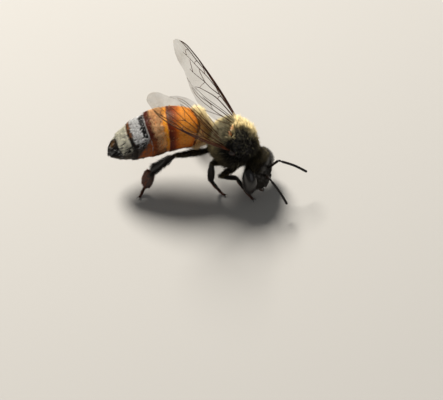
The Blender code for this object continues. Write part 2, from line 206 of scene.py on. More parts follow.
def ramp(material, share, stops):
    made = addNode(material, "ValToRGB", {"Fac": share})
    elements = made.color_ramp.elements
    elements.remove(elements[-1])
    elements[0].position = stops[0][0]
    elements[0].color = linear(stops[0][1])
    for place, tone in stops[1:]:
        elements.new(place).color = linear(tone)
    return made.outputs["Color"]


def remap(material, value, low, high, first=0.0, last=1.0):
    fed = {"Value": value, "From Min": low, "From Max": high, "To Min": first, "To Max": last}
    return addNode(material, "MapRange", fed).outputs["Result"]


def calc(material, operation, *values):
    return addNode(material, "Math", dict(enumerate(values)), operation=operation).outputs[0]


def blend(material, share, under, over, way="MIX"):
    made = addNode(material, "Mix", {0: share, 6: under, 7: over}, data_type="RGBA", blend_type=way)
    return made.outputs[2]


def dress(material, fed):
    shader = material.node_tree.nodes["Principled BSDF"]
    for name, value in fed.items():
        feed(material, shader.inputs[name], value)


def newMaterial(name, fed):
    material = bpy.data.materials.new(name)
    material.use_nodes = True
    dress(material, fed)
    return material


def unwrapLayer(bm):
    layers = bm.loops.layers.uv
    return layers.get("SkinMap") or layers.new("SkinMap")


def mapFaces(faces, layer, spotOf, materialIndex=0):
    for face in faces:
        face.material_index = materialIndex
        face.smooth = True
        for loop in face.loops:
            loop[layer].uv = spotOf[loop.vert]


def gridInto(bm, columns, rows, surface, materialIndex=0):
    # lays a grid over a surface given at 0 to 1 across and along, with its unwrap
    layer = unwrapLayer(bm)
    made = bmesh.ops.create_grid(bm, x_segments=columns, y_segments=rows, size=0.5)["verts"]
    flat = np.array([tuple(vert.co) for vert in made])
    points, spots = surface(flat[:, 0] + 0.5, flat[:, 1] + 0.5)
    for vert, point in zip(made, points):
        vert.co = point
    faces = {face for vert in made for face in vert.link_faces}
    mapFaces(faces, layer, dict(zip(made, spots)), materialIndex)


def tube(bm, line, girth, up=upright, columns=12, rows=24, cell=(0.0, 0.0, 1.0, 1.0), carve=None,
         materialIndex=0, even=False):
    # a closed shell round a centre line: girth gives its half width and half thickness along it
    def surface(u, v):
        t = v if even else 0.5 - 0.5 * np.cos(np.pi * v)
        along = unit(line(limit(t + 0.004)) - line(limit(t - 0.004)))
        across = unit(np.cross(np.broadcast_to(np.array(up, float), along.shape), along))
        top = np.cross(along, across)
        angle = angleAt(u)
        wide, thin = girth(t)
        y, z = wide * np.sin(angle), thin * np.cos(angle)
        if carve:
            y, z = carve(t, angle, y, z)
        left, low, cellWide, cellTall = cell
        spots = np.stack([left + cellWide * u, low + cellTall * v], axis=-1)
        return line(t) + across * y[:, None] + top * z[:, None], spots

    gridInto(bm, columns, rows, surface, materialIndex)


def addPiece(name, mesh):
    piece = bpy.data.objects.new(name, mesh)
    bpy.context.collection.objects.link(piece)
    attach(piece, "root")
    return piece


def finishPiece(name, bm, materials, replaced=()):
    bmesh.ops.remove_doubles(bm, verts=bm.verts, dist=0.0002)
    bmesh.ops.recalc_face_normals(bm, faces=bm.faces)
    if bm.calc_volume(signed=True) < 0.0:  # a thin shell can come out turned inwards
        bmesh.ops.reverse_faces(bm, faces=bm.faces)
    mesh = bpy.data.meshes.new(name)
    bm.to_mesh(mesh)
    bm.free()
    mesh.transform(Matrix.Scale(toMetres, 4))
    for material in materials:
        mesh.materials.append(material)
    piece = addPiece(name, mesh)
    if replaced:
        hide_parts(*replaced)
    return piece


def gridPiece(name, columns, rows, surface, material, slot, replaced):
    bm = bmesh.new()
    gridInto(bm, columns, rows, surface)
    return finishPiece(name, bm, [material], replaced)


def makeCuticle(name, tone, edgeTone, roughness, gloss, pit):
    # sclerotised chitin: a satin shell with fine punctures that break its highlight
    material = newMaterial(name, {
        "Roughness": roughness, "IOR": 1.5, "Specular IOR Level": 0.3,
        "Coat Weight": gloss, "Coat Roughness": 0.22,
    })
    dress(material, {
        "Base Color": ramp(material, noise(material, 0.4, 4.0), ((0.35, tone), (0.75, edgeTone))),
        "Normal": pitted(material, pit, 0.35, 0.00001),
    })
    return material


blackCuticle = makeCuticle("blackChitin", "#0d0907", "#1c130c", 0.36, 0.2, 0.05)
brownCuticle = makeCuticle("brownChitin", "#3a1a0b", "#5c2c12", 0.36, 0.3, 0.05)
jawCuticle = makeCuticle("jawChitin", "#160b06", "#34180b", 0.3, 0.3, 0.05)
legCuticle = makeCuticle("legChitin", "#0a0705", "#170e08", 0.5, 0.0, 0.045)


def makeHair():
    # keratin-like hair: soft and matt, darker at its root where light is lost between the hairs
    material = newMaterial("branchedHair", {"Roughness": 0.55, "IOR": 1.5, "Specular IOR Level": 0.3})
    tint = addNode(material, "Attribute", attribute_name="hairTint").outputs["Color"]
    along = addNode(material, "Attribute", attribute_name="alongHair").outputs["Fac"]
    shade = ramp(material, along, ((0.0, "#808080"), (0.4, "#e8e8e8"), (1.0, "#ffffff")))
    dress(material, {"Base Color": blend(material, 1.0, tint, shade, "MULTIPLY")})
    return material


coatMaterial = makeHair()
print("materials: chitin and hair")


def readOut(items, field, width, kind=float):
    values = np.empty(len(items) * width, kind)
    items.foreach_get(field, values)
    return values.reshape(-1, width)


def skinTriangles(mesh):
    # corner points in mm, corner normals and corner places on the unwrap of every triangle
    mesh.calc_loop_triangles()
    corners = readOut(mesh.loop_triangles, "vertices", 3, np.int32)
    loops = readOut(mesh.loop_triangles, "loops", 3, np.int32)
    points = readOut(mesh.vertices, "co", 3) / toMetres
    spots = readOut(mesh.uv_layers["SkinMap"].uv, "vector", 2)
    return points[corners], readOut(mesh.vertex_normals, "vector", 3)[corners], spots[loops]


hair = {
    "lengths": (0.72, 1.12),  # spread of the tufts' lengths, share of the length that is asked for
    "lifts": (4.0, 86.0),  # least and most lift, degrees
    "uneven": (0.8, 1.1),  # spread of the lengths in a tuft
    "widths": (0.8, 1.2),
    "bendWidth": 0.72,  # width at the bend, share of the width at the root
    "patch": 0.003,  # width of a tuft's patch on the bake unwrap
}


def growCoat(name, skins, plan, weigh, comb, tint):
    # tufts of fine tapered hairs, rooted in the skin; each hair is a three-sided spike with one bend
    rng = np.random.default_rng(plan["seed"])
    tufts, hairs = plan["tufts"], plan["hairs"]
    parts = zip(*(skinTriangles(skin.data) for skin in skins))
    points, normals, spots = (np.concatenate(part) for part in parts)
    area = 0.5 * np.linalg.norm(np.cross(points[:, 1] - points[:, 0], points[:, 2] - points[:, 0]), axis=1)
    chance = area * np.maximum(weigh(spots.mean(1), points.mean(1), unit(normals.mean(1))), 0.0)
    picked = rng.choice(len(chance), tufts, p=chance / chance.sum())
    first = np.sqrt(rng.uniform(size=tufts))
    second = rng.uniform(size=tufts)
    share = np.stack([1.0 - first, first * (1.0 - second), first * second], axis=1)[:, :, None]
    root, normal, spot = ((part[picked] * share).sum(1) for part in (points, normals, spots))
    normal = unit(normal)
    length, lift, flow = comb(spot, root, normal)
    length = length * rng.uniform(*hair["lengths"], tufts)
    lift = np.radians(np.clip(lift + rng.normal(0.0, plan["ruffle"], tufts), *hair["lifts"]))
    lie = unit(flow - normal * (flow * normal).sum(1)[:, None])
    stray = np.radians(rng.normal(0.0, plan["stray"], tufts))
    lie = lie * np.cos(stray)[:, None] + np.cross(normal, lie) * np.sin(stray)[:, None]
    across = np.cross(normal, lie)

    turnAt = rng.uniform(0.0, 2.0 * np.pi, (tufts, hairs))
    reach = plan["spread"] * np.sqrt(rng.uniform(size=(tufts, hairs)))
    offset = across[:, None] * (np.cos(turnAt) * reach)[:, :, None]
    offset = offset + lie[:, None] * (np.sin(turnAt) * reach)[:, :, None]
    hairLength = length[:, None, None] * rng.uniform(*hair["uneven"], (tufts, hairs, 1))

    def rising(angle):
        return (lie * np.cos(angle)[:, None] + normal * np.sin(angle)[:, None])[:, None]

    base = root[:, None] + offset - normal[:, None] * plan["sink"]
    scatter = rng.normal(0.0, plan["fray"], (tufts, hairs, 3)) * hairLength
    middle = root[:, None] + offset * (1.0 - 0.4 * plan["clump"]) + scatter * 0.3
    middle = middle + rising(lift) * hairLength * 0.5
    tip = middle + rising(lift * plan["curl"]) * hairLength * 0.5 - offset * (0.5 * plan["clump"]) + scatter
    base, middle, tip = (part.reshape(-1, 3) for part in (base, middle, tip))
    count = len(base)
    along = unit(tip - base)
    sideways = unit(np.cross(along, np.repeat(normal, hairs, axis=0)))
    over = np.cross(sideways, along)
    thick = plan["width"] * 0.5 * rng.uniform(*hair["widths"], (count, 1))

    # seven points to a hair: a ring of three at the root, a narrower one at the bend, and the tip
    corners, ring, pattern = [], [], []
    for centre, size, inset in ((base, 1.0, 0.5), (middle, hair["bendWidth"], 0.25)):
        for step in range(3):
            angle = 2.0 * np.pi * step / 3.0
            corners.append(centre + (sideways * np.cos(angle) + over * np.sin(angle)) * thick * size)
            ring.append((hair["patch"] * inset * np.cos(angle), hair["patch"] * inset * np.sin(angle)))
    for step in range(3):
        after = (step + 1) % 3
        pattern += [(step, step + 3, after), (after, step + 3, after + 3), (step + 3, 6, after + 3)]
    verts = np.stack([*corners, tip], axis=1).reshape(-1, 3) * toMetres
    faces = (np.arange(count)[:, None, None] * 7 + np.array(pattern)[None]).reshape(-1, 3)
    mesh = bpy.data.meshes.new(name)
    mesh.from_pydata(verts, [], faces)
    # the bake patch: each tuft seen from its tip, at its root on the skin's unwrap
    patch = np.repeat(np.clip(spot, 0.002, 0.998), hairs, axis=0)[:, None] + np.array([*ring, (0.0, 0.0)])
    corner = readOut(mesh.loops, "vertex_index", 1, np.int32).ravel()
    bake = mesh.uv_layers.new(name="OFBake").uv
    bake.foreach_set("vector", patch.reshape(-1, 2)[corner].astype(np.float32).ravel())
    colours = np.ones((tufts, 4), np.float32)
    colours[:, :3] = tint(spot, root, normal, rng)
    shown = mesh.attributes.new("hairTint", "FLOAT_COLOR", "POINT")
    shown.data.foreach_set("color", np.repeat(colours, hairs * 7, axis=0).ravel())
    height = mesh.attributes.new("alongHair", "FLOAT", "POINT")
    height.data.foreach_set("value", np.tile(np.array((0, 0, 0, 0.5, 0.5, 0.5, 1.0), np.float32), count))
    mesh.shade_smooth()
    mesh.materials.append(coatMaterial)
    addPiece(name, mesh)
    print("coat:", name, count, "hairs,", len(faces), "triangles")


def toneMix(tones, weights, rng, wander=0.12):
    # mixes named hair colours by weights and lets each tuft wander a little lighter or darker
    palette = np.array([linear(tone)[:3] for tone in tones])
    weights = np.maximum(np.stack(weights, axis=1), 0.0)
    mixed = (weights / np.maximum(weights.sum(1, keepdims=True), 1e-9)) @ palette
    return mixed * np.exp(rng.normal(0.0, wander, (len(mixed), 1)))


thorax = {
    "half": (1.74, 1.62, 1.5),  # half length, width and depth of the bare shell
    "grid": (120, 90),
    "scutellum": (-1.02, 0.17),  # place of its crest along the body, and its rise
    "neck": ((1.4, 0.0, -0.1), (1.85, -0.2, -0.35), (2.4, -0.45, -0.65)),
    "tegula": ((0.2, 1.5, 0.72), (-0.1, 1.6, 0.86), (-0.42, 1.58, 0.86)),
}


def thoraxSurface(u, v):
    angle = angleAt(u)
    x = -np.cos(np.pi * v)
    ring = np.sin(np.pi * v) ** 0.85
    halfLength, halfWidth, halfDepth = thorax["half"]
    away = np.abs(angle)
    back = ease(math.radians(75.0), math.radians(40.0), away)
    place = x * halfLength
    crest, rise = thorax["scutellum"]
    crestAt = crest + 0.26 * (away / 0.9) ** 2
    relief = back * (rise * bump(place, crestAt, 0.2) - 0.1 * bump(place, crestAt + 0.34, 0.07))
    relief -= 0.16 * back * ease(crest - 0.2, crest - 0.42, place)
    relief -= 0.05 * bump(angle, 0.0, 0.035) * ease(-0.5, -0.3, place)  # the seam down the back
    relief -= 0.07 * ease(2.1, 1.5, away) * bump(place, 1.12 - 0.2 * away, 0.06)  # the collar
    seams = bump(place, 0.45 - 0.25 * (away - 1.6), 0.06) + bump(place, -0.7, 0.07)
    side = ease(0.95, 1.25, away) * ease(2.75, 2.3, away)
    relief += side * (0.08 * bump(place, -0.1, 0.3) - 0.06 * seams)
    relief -= 0.05 * bump(away, 1.12, 0.05) * ease(1.1, 0.8, np.abs(place + 0.1))
    hump = 1.0 + 0.06 * np.cos(2.2 * (x + 0.35))
    depth = np.where(np.cos(angle) > 0.0, hump * halfDepth, halfDepth)
    y = (halfWidth * (1.0 - 0.1 * np.maximum(x, 0.0) ** 2) + relief) * ring * np.sin(-angle)
    z = (depth + relief) * ring * np.cos(angle)
    return carry(bodyPlace, np.stack([place, y, z], axis=-1)), np.stack([u, v], axis=-1)


def makeThoraxCuticle():
    # the same black shell with its scutellum a bald, polished orange-brown
    material = blackCuticle.copy()
    material.name = "thoraxChitin"
    shell = material.node_tree.nodes["Principled BSDF"].inputs["Base Color"].links[0].from_socket
    unwrap = addNode(material, "UVMap", uv_map="SkinMap").outputs["UV"]
    nearness = addNode(material, "Mapping", {
        "Vector": unwrap, "Location": (-3.5, -3.35, 0.0), "Scale": (7.0, 11.2, 1.0),
    }).outputs["Vector"]
    away = addNode(material, "VectorMath", {0: nearness}, operation="LENGTH").outputs["Value"]
    dress(material, {"Base Color": blend(material, remap(material, away, 0.75, 0.5), shell, "#cf8448")})
    return material


thoraxSkin = gridPiece("thoraxSkin", *thorax["grid"], thoraxSurface, makeThoraxCuticle(), "black_cuticle",
                       ["thorax"])

bm = bmesh.new()
neckLine = smoothPath([bodyPlace @ Vector(spot) for spot in thorax["neck"]])
tube(bm, neckLine, lambda t: (0.5 - 0.08 * t, 0.46 - 0.06 * t), columns=20, rows=16)
finishPiece("neck", bm, [blackCuticle])

for side, sign in sides:
    # the tegula: a small polished scale over the root of the wings
    bm = bmesh.new()
    scaleLine = smoothPath([bodyPlace @ Vector((x, sign * y, z)) for x, y, z in thorax["tegula"]])
    outward = turn(bodyPlace, (0.0, sign * 0.8, 0.6))[0]
    tube(bm, scaleLine, spindle(0.2, 0.1, 0.5, 0.5), outward, 16, 14)
    finishPiece("tegula_" + side, bm, [jawCuticle])


def thoraxFields(spot, root):
    rightward = angleAt(spot[:, 0])
    local = carryBack(bodyPlace, root)
    # the rubbed-bare patch of the back; its reach down the right side is painted shade
    ragged = 0.3 * (patchNoise(spot[:, 0] * 28.0, spot[:, 1] * 16.0, 8) - 0.5)
    bareAndShadedPatch = ease(1.2, 0.7, np.hypot((local[:, 0] - 0.3) / 1.15, (rightward - 0.58) / 0.88) + ragged)
    return rightward, local, bareAndShadedPatch


def thoraxComb(spot, root, normal):
    rightward, local, bareAndShadedPatch = thoraxFields(spot, root)
    x, y, z = local.T
    length = 0.64 - 0.14 * bareAndShadedPatch - 0.14 * ease(2.0, 2.8, np.abs(rightward)) - 0.2 * ease(0.6, 1.3, x)
    # the hairs lean back and outwards, and forwards over the collar
    flow = [ease(0.7, 1.5, x) * 1.4 - 0.8, 0.35 * np.sign(y) * np.abs(y) ** 0.5, np.full(len(x), -0.25)]
    return length, 48.0 - 6.0 * bareAndShadedPatch, turn(bodyPlace, np.stack(flow, axis=-1))


def thoraxTint(spot, root, normal, rng):
    rightward, local, bareAndShadedPatch = thoraxFields(spot, root)
    angle, x = np.abs(rightward), local[:, 0]
    low = ease(1.3, 1.8, angle)
    # painted shade: the right side is dark from the bare patch down and round to the neck, and olive low
    # down behind; the hair low on both flanks is painted a darker olive
    ragged = 0.3 * (patchNoise(spot[:, 0] * 36.0, spot[:, 1] * 20.0, 9) - 0.5)
    darkHairs = ease(0.45, 0.85, rightward + ragged) * ease(-1.15, -0.6, x)
    darkHairs = np.maximum(darkHairs, 0.95 * ease(0.7, 1.15, x + ragged) * ease(-0.7, 0.0, rightward))
    darkHairs = darkHairs * (1.0 - 0.6 * ease(1.3, 1.7, rightward) * ease(0.3, -0.6, x))
    behind = ease(-0.75, -1.05, x)
    grey = behind * ease(1.3, 0.6, angle) * 1.2 + 0.3 * bareAndShadedPatch
    # behind the scutellum the fur is dark grey with fine pale hairs in it
    rear = behind * ease(-0.9, -0.4, rightward) * ease(1.9, 1.3, rightward)
    wild = rng.uniform(size=len(angle))
    pale = (1.0 - bareAndShadedPatch) * (1.0 - darkHairs) * (1.0 - 0.6 * low) * (1.0 - 0.7 * rear)
    dark = 1.3 * bareAndShadedPatch * (wild > 0.25) + 1.5 * darkHairs * (wild > 0.1) + 1.2 * rear * (wild > 0.3)
    grey = grey * (1.0 - 0.7 * darkHairs) + 3.0 * np.maximum(bareAndShadedPatch, darkHairs) * (wild < 0.05)
    return toneMix(("#dfcb94", "#eedfb2", "#15110c", "#8f8a72", "#41351c"),
                   [pale, 0.5 * wild * pale, dark, grey, 0.9 * low + 0.25 * darkHairs], rng, 0.24)


def backWeight(spot, point, normal):
    rightward, local, bareAndShadedPatch = thoraxFields(spot, point)
    x, y, z = local.T
    bald = bump(x, thorax["scutellum"][0] + 0.12, 0.3) * ease(0.75, 0.45, np.abs(y)) * (z > 0.5)
    return ease(1.5, 1.35, np.abs(rightward)) * (1.0 - 0.84 * bareAndShadedPatch) * (1.0 - 0.97 * bald)


def sideWeight(spot, point, normal):
    rightward, local, bareAndShadedPatch = thoraxFields(spot, point)
    angle = np.abs(rightward)
    return ease(1.35, 1.5, angle) * (1.0 - 0.5 * ease(2.3, 2.8, angle)) * (1.0 - 0.5 * bareAndShadedPatch)


thoraxPlan = {
    "seed": 11,
    "tufts": 3650,
    "hairs": 6,  # to a tuft
    "width": 0.026,  # of a hair at its root
    "spread": 0.075,  # half width of a tuft at its root
    "sink": 0.03,
    "clump": 1.0,  # how far the hairs of a tuft draw together
    "curl": 0.75,  # lift that is left beyond the bend
    "fray": 0.085,
    "ruffle": 16.0,  # wander of the lift and of the lie, degrees
    "stray": 28.0,
}
growCoat("thoraxCoatBack", [thoraxSkin], thoraxPlan, backWeight, thoraxComb, thoraxTint)
growCoat("thoraxCoatSides", [thoraxSkin], dict(thoraxPlan, seed=12), sideWeight, thoraxComb, thoraxTint)
print("thorax done")


abdomen = {
    "root": (-1.75, 0.0, -0.62),
    # distance along it, turn to the right and droop
    "bend": ((0.0, -2.0, 5.0), (3.0, 22.0, 26.4), (4.5, 38.0, 38.0), (8.7, 46.0, 48.0)),
    "girth": (
        # distance, half width, height above the axis, depth below it, all to the tips of the coat
        (0.0, 0.42, 0.42, 0.36), (0.3, 0.90, 1.0, 0.86), (0.8, 1.30, 1.45, 1.12), (1.6, 1.58, 1.70, 1.32),
        (2.8, 1.82, 1.80, 1.50), (4.2, 1.86, 1.74, 1.62), (5.4, 1.78, 1.62, 1.66), (6.5, 1.55, 1.38, 1.56),
        (7.4, 1.20, 1.12, 1.30), (8.15, 0.76, 0.80, 0.92), (8.7, 0.24, 0.24, 0.36),
    ),
    "length": 8.7,
    "frontRound": 0.2,  # length over which its front closes in a round
    "tailRound": 0.4,
    "plateEnds": (1.3, 3.62, 5.18, 6.72, 7.68),
    "coatDepth": 0.07,
    "fuzzDepth": 0.3,  # more of it under the long fuzz of the first plate
    "fuzzShift": 0.55,  # how far this fuzz laps back over the left of the second plate
    "lip": 0.075,  # step at the hind edge of a plate
    "tilt": (0.27, -0.6),  # how far the plates' edges run forwards over the back, and on the belly
    "twist": ((0.0, 0.0), (3.0, -7.0), (5.0, -16.0), (8.7, -19.0)),  # roll of its back as it bends
    "plateSide": 1.98,  # angle from the back at which the back plates lap over the belly plates
    "columns": 132,
}


def abdomenAxis():
    # places along the axis, its points there and the way it runs back
    step = 0.02
    places = np.arange(0.0, abdomen["length"] + step, step)
    yaw, droop = (np.radians(straightRead(abdomen["bend"], places, column)) for column in (1, 2))
    backs = np.stack([-np.cos(yaw) * np.cos(droop), -np.sin(yaw) * np.cos(droop), -np.sin(droop)], axis=-1)
    points = np.array(abdomen["root"]) + (np.cumsum(backs, axis=0) - backs) * step
    return places, points, backs


axisPlaces, axisPoints, axisBacks = abdomenAxis()


def alongAxis(distance):
    def read(values):
        return np.stack([np.interp(distance, axisPlaces, values[:, axis]) for axis in range(3)], axis=-1)

    back = unit(read(axisBacks))
    return read(axisPoints) + back * np.minimum(distance, 0.0)[:, None], back


def abdomenRows():
    # rows of the skin's grid, close together where one plate laps over the next
    rows = [-abdomen["frontRound"], -0.17, -0.1, 0.0]
    before, step = 0.0, 0.1
    lapSteps = (-0.05, -0.02, -0.005, 0.005, 0.02)
    for end in (*abdomen["plateEnds"], abdomen["length"]):
        count = max(int((end - before) / step), len(lapSteps))
        rows += list(np.linspace(before, end - step, count + 1)[1:])
        rows += [end + lap for lap in lapSteps]
        before = rows[-1]
    return np.array(rows[:-2])


abdomenPlaces = abdomenRows()


def abdomenSurface(u, v):
    places = abdomenPlaces[np.round(v * (len(abdomenPlaces) - 1)).astype(int)]
    angle = angleAt(u)
    over, under = abdomen["tilt"]
    tilt = over + (under - over) * ease(0.95, 2.27, np.abs(angle))
    distance = places - ease(1.5, 6.0, places) * ease(abdomen["length"], 7.7, places) * tilt
    wide, above, below = (smoothRead(abdomen["girth"], distance, column) for column in (1, 2, 3))
    starts = np.array((0.0, *abdomen["plateEnds"]))
    ends = np.array((*abdomen["plateEnds"], abdomen["length"] + 0.6))
    index = np.clip(np.searchsorted(ends, places, side="left"), 0, len(ends) - 1)
    share = limit((places - starts[index]) / (ends[index] - starts[index]))
    lip = abdomen["lip"] * (share ** 2 - 0.35)
    lip -= 0.03 * ease(0.94, 1.0, share) * (index < 5)
    lip -= 0.06 * ease(abdomen["plateSide"] - 0.03, abdomen["plateSide"] + 0.03, np.abs(angle))
    tailward = limit((places - abdomen["length"]) / abdomen["tailRound"] + 1.0)
    size = np.sqrt(1.0 - tailward ** 2) * np.sqrt(1.0 - limit(-places / abdomen["frontRound"]) ** 2)
    trim = lip * ease(0.0, 0.5, places) * ease(abdomen["length"], 8.2, places) - abdomen["coatDepth"]
    fuzzy = ease(1.45, 1.0, places) * ease(0.0, 0.3, places) * (0.4 + 0.6 * ease(1.2, 0.3, angle))
    trim -= abdomen["fuzzDepth"] * fuzzy
    rolled = angle + np.radians(straightRead(abdomen["twist"], places, 1))
    y = np.maximum(wide + trim, 0.05) * size * np.sin(rolled)
    z = np.maximum(np.where(np.cos(rolled) > 0.0, above, below) + trim, 0.05) * size * np.cos(rolled)
    point, back = alongAxis(distance)
    across = unit(np.cross(np.broadcast_to(upright, back.shape), back))
    body = point + across * y[:, None] + np.cross(back, across) * z[:, None]
    return carry(bodyPlace, body), np.stack([u, limit(places / abdomen["length"])], axis=-1)


backBands = (
    # distance along the back, and the shell's colour there
    (0.0, "#7a522a"), (0.6, "#e8b268"), (1.1, "#ffc474"), (1.2, "#7a3a0e"), (1.32, "#421c06"),
    (1.42, "#d07018"), (1.75, "#e08a2c"), (2.5, "#e28c2e"), (2.85, "#cc6c16"), (3.05, "#9a400e"),
    (3.25, "#70280a"), (3.58, "#4c1202"), (3.62, "#b86010"), (3.7, "#f0a024"), (3.94, "#e08818"),
    (4.05, "#ffb86e"), (4.48, "#e08a44"),
    (4.64, "#7a2608"), (5.13, "#3f0e02"), (5.15, "#8a7256"), (5.17, "#7a644a"), (5.19, "#080605"),
    (6.28, "#0d0908"), (6.36, "#1d0e07"), (6.7, "#0b0807"), (7.6, "#0d0908"),
    (7.68, "#140c07"), (7.85, "#1c1309"), (8.1, "#0a0706"), (8.7, "#0d0a08"),
)
bellyBands = (
    (0.0, "#2b170b"), (1.3, "#6a3512"), (1.5, "#b8641c"), (3.4, "#a44c12"), (3.6, "#5a2206"),
    (3.7, "#b05a16"), (5.0, "#7a3208"), (5.25, "#4a1c06"), (6.2, "#2a1206"), (6.8, "#180c06"),
    (8.7, "#120b07"),
)


def makeBandedCuticle():
    # thin amber chitin over dark tissue, ringed with dark brown: satin, and light glows a little way into it
    material = newMaterial("bandedChitin", {
        "Roughness": 0.5, "IOR": 1.5, "Specular IOR Level": 0.14, "Coat Weight": 0.03, "Coat Roughness": 0.3,
        "Subsurface Weight": 0.08, "Subsurface Radius": (1.0, 0.4, 0.12), "Subsurface Scale": 0.00025,
    })
    across, down = unwrapParts(material)[:2]

    def share(distance):
        return distance / abdomen["length"]

    def times(first, second):
        return calc(material, "MULTIPLY", first, second)

    def bands(table):
        return ramp(material, along, [(share(distance), tone) for distance, tone in table])

    ragged = calc(material, "MULTIPLY_ADD", noise(material, 0.22, 3.0), 0.012, -0.006)
    # the dark edge between the first two plates swings back towards the left
    leftOf = remap(material, across, 0.55, 0.42, 0.0, share(abdomen["fuzzShift"]))
    swing = times(leftOf, remap(material, down, share(2.9), share(2.0)))
    along = calc(material, "SUBTRACT", calc(material, "ADD", down, ragged), swing)
    fromMiddle = calc(material, "SUBTRACT", across, 0.5)
    sideways = calc(material, "ABSOLUTE", fromMiddle)
    # painted shade: both flanks are darkened and reddened
    flank = remap(material, sideways, 0.19, 0.3, 0.0, 0.75)
    tone = blend(material, flank, bands(backBands), "#b5622e", "MULTIPLY")
    # low on the flank the amber runs back over the fourth plate
    reach = remap(material, sideways, 0.11, 0.22, share(5.1), share(6.3))
    inside = remap(material, calc(material, "SUBTRACT", reach, along), -0.012, 0.02)
    low = remap(material, sideways, 0.11, 0.17, 0.0, 0.85)
    amber = times(times(inside, low), remap(material, along, share(4.5), share(4.8)))
    tone = blend(material, amber, tone, "#b05a1e")
    tone = blend(material, remap(material, sideways, 0.309, 0.319), tone, bands(bellyBands))
    # the hind edge of the fourth plate shows orange-brown over the back and breaks up down the right side
    blotch = noise(material, 0.3, 2.0)
    rightShift = calc(material, "ADD", fromMiddle, calc(material, "MULTIPLY_ADD", blotch, 0.9, -0.45))
    window = bands(((6.34, "#000000"), (6.44, "#ffffff"), (6.6, "#ffffff"), (6.7, "#000000")))
    edging = times(times(remap(material, rightShift, 0.1, 0.03), window), remap(material, blotch, 0.4, 0.52))
    tone = blend(material, edging, tone, "#8e5a3a")
    # the dark ring of the second plate runs forwards in blotches
    ring = bands(((2.55, "#000000"), (2.95, "#bbbbbb"), (3.5, "#bbbbbb"), (3.58, "#000000")))
    stains = times(ring, remap(material, noise(material, 0.45, 3.0), 0.48, 0.62))
    tone = blend(material, stains, tone, "#541a04")
    speckle = ramp(material, noise(material, 0.09, 2.0), ((0.3, "#cfcfcf"), (0.6, "#ffffff")))
    # the shell's cells are drawn 0.05 mm across so that they show
    dress(material, {
        "Base Color": blend(material, 1.0, tone, speckle, "MULTIPLY"),
        "Normal": pitted(material, 0.05, 0.22, 0.000008),
    })
    return material


abdomenNodes = ["abdomen_%d" % number for number in range(1, 7)]
abdomenSkin = gridPiece("abdomenSkin", abdomen["columns"], len(abdomenPlaces) - 1, abdomenSurface,
                        makeBandedCuticle(), "amber_cuticle", abdomenNodes)

hairBands = (
    # distance along the back, how thickly the hairs stand, their length, and their lift in degrees
    (0.0, 0.8, 0.42, 55.0), (0.7, 0.8, 0.56, 60.0), (1.05, 0.6, 0.54, 54.0), (1.27, 0.1, 0.26, 30.0),
    (1.4, 0.02, 0.24, 28.0), (3.4, 0.015, 0.16, 20.0), (3.64, 0.03, 0.2, 20.0), (3.92, 0.2, 0.2, 22.0),
    (4.02, 1.0, 0.23, 28.0), (4.5, 0.9, 0.22, 28.0), (4.7, 0.35, 0.2, 24.0), (5.12, 0.12, 0.18, 22.0),
    (5.15, 1.2, 0.13, 24.0), (5.2, 1.2, 0.13, 20.0), (5.22, 0.04, 0.16, 16.0), (5.53, 0.06, 0.2, 14.0),
    (5.63, 1.6, 0.24, 17.0), (6.24, 1.3, 0.24, 18.0), (6.34, 0.4, 0.22, 20.0), (6.7, 0.3, 0.2, 18.0),
    (6.76, 1.7, 0.25, 18.0), (7.55, 1.5, 0.27, 20.0), (7.66, 0.5, 0.24, 20.0), (7.8, 0.6, 0.28, 24.0),
    (8.3, 0.9, 0.34, 26.0), (8.7, 1.2, 0.34, 30.0),
)


def abdomenFields(spot):
    # distance along the back with the swing of the first bands taken out, and angle from its middle
    distance = spot[:, 1] * abdomen["length"]
    rightward = angleAt(spot[:, 0])
    swing = abdomen["fuzzShift"] * ease(0.3, -0.5, rightward) * ease(2.9, 2.0, distance)
    return distance - swing, rightward, np.abs(rightward)


def abdomenWeight(low, high):
    def weigh(spot, point, normal):
        distance, rightward, angle = abdomenFields(spot)
        felt = (distance > 3.9) & (distance < 7.66)
        rightShift = np.where(distance > 5.19, 0.24, 0.0) * ease(0.0, 0.5, rightward)  # painted shade: thinner down the right
        edge = np.where(felt, 0.98 + 0.08 * (distance - 5.5) - rightShift, 1.9)
        edge = edge + 0.4 * (patchNoise(spot[:, 0] * 14.0, distance * 4.0, 6) - 0.5)
        over = ease(edge + 0.12, edge - 0.12, angle)
        # the felt lies in flecks with the dark shell between them
        fleck = 0.16 + 1.6 * ease(0.32, 0.62, patchNoise(spot[:, 0] * 92.0, distance * 9.0, 5))
        thick = straightRead(hairBands, distance, 1) * np.where(distance > 3.9, fleck, 1.0)
        # painted shade: the front fuzz is thinner on the right
        thick = thick * np.where(distance < 1.3, 0.3 + 0.9 * ease(0.35, -0.25, rightward), 1.0)
        # a thick white fringe over the back where the third plate laps the fourth
        thick = thick * (1.0 + 3.0 * bump(distance, 5.17, 0.03) * ease(0.8, 0.4, angle))
        return (thick * over + 0.16 * (1.0 - over)) * (distance >= low) * (distance < high)

    return weigh


def abdomenComb(spot, root, normal):
    distance, rightward, angle = abdomenFields(spot)
    belly = ease(1.9, 2.2, angle)
    length = straightRead(hairBands, distance, 2) * (1.0 - 0.2 * belly)
    lift = straightRead(hairBands, distance, 3) * (1.0 - 0.3 * belly)
    return length, lift, turn(bodyPlace, alongAxis(distance)[1])


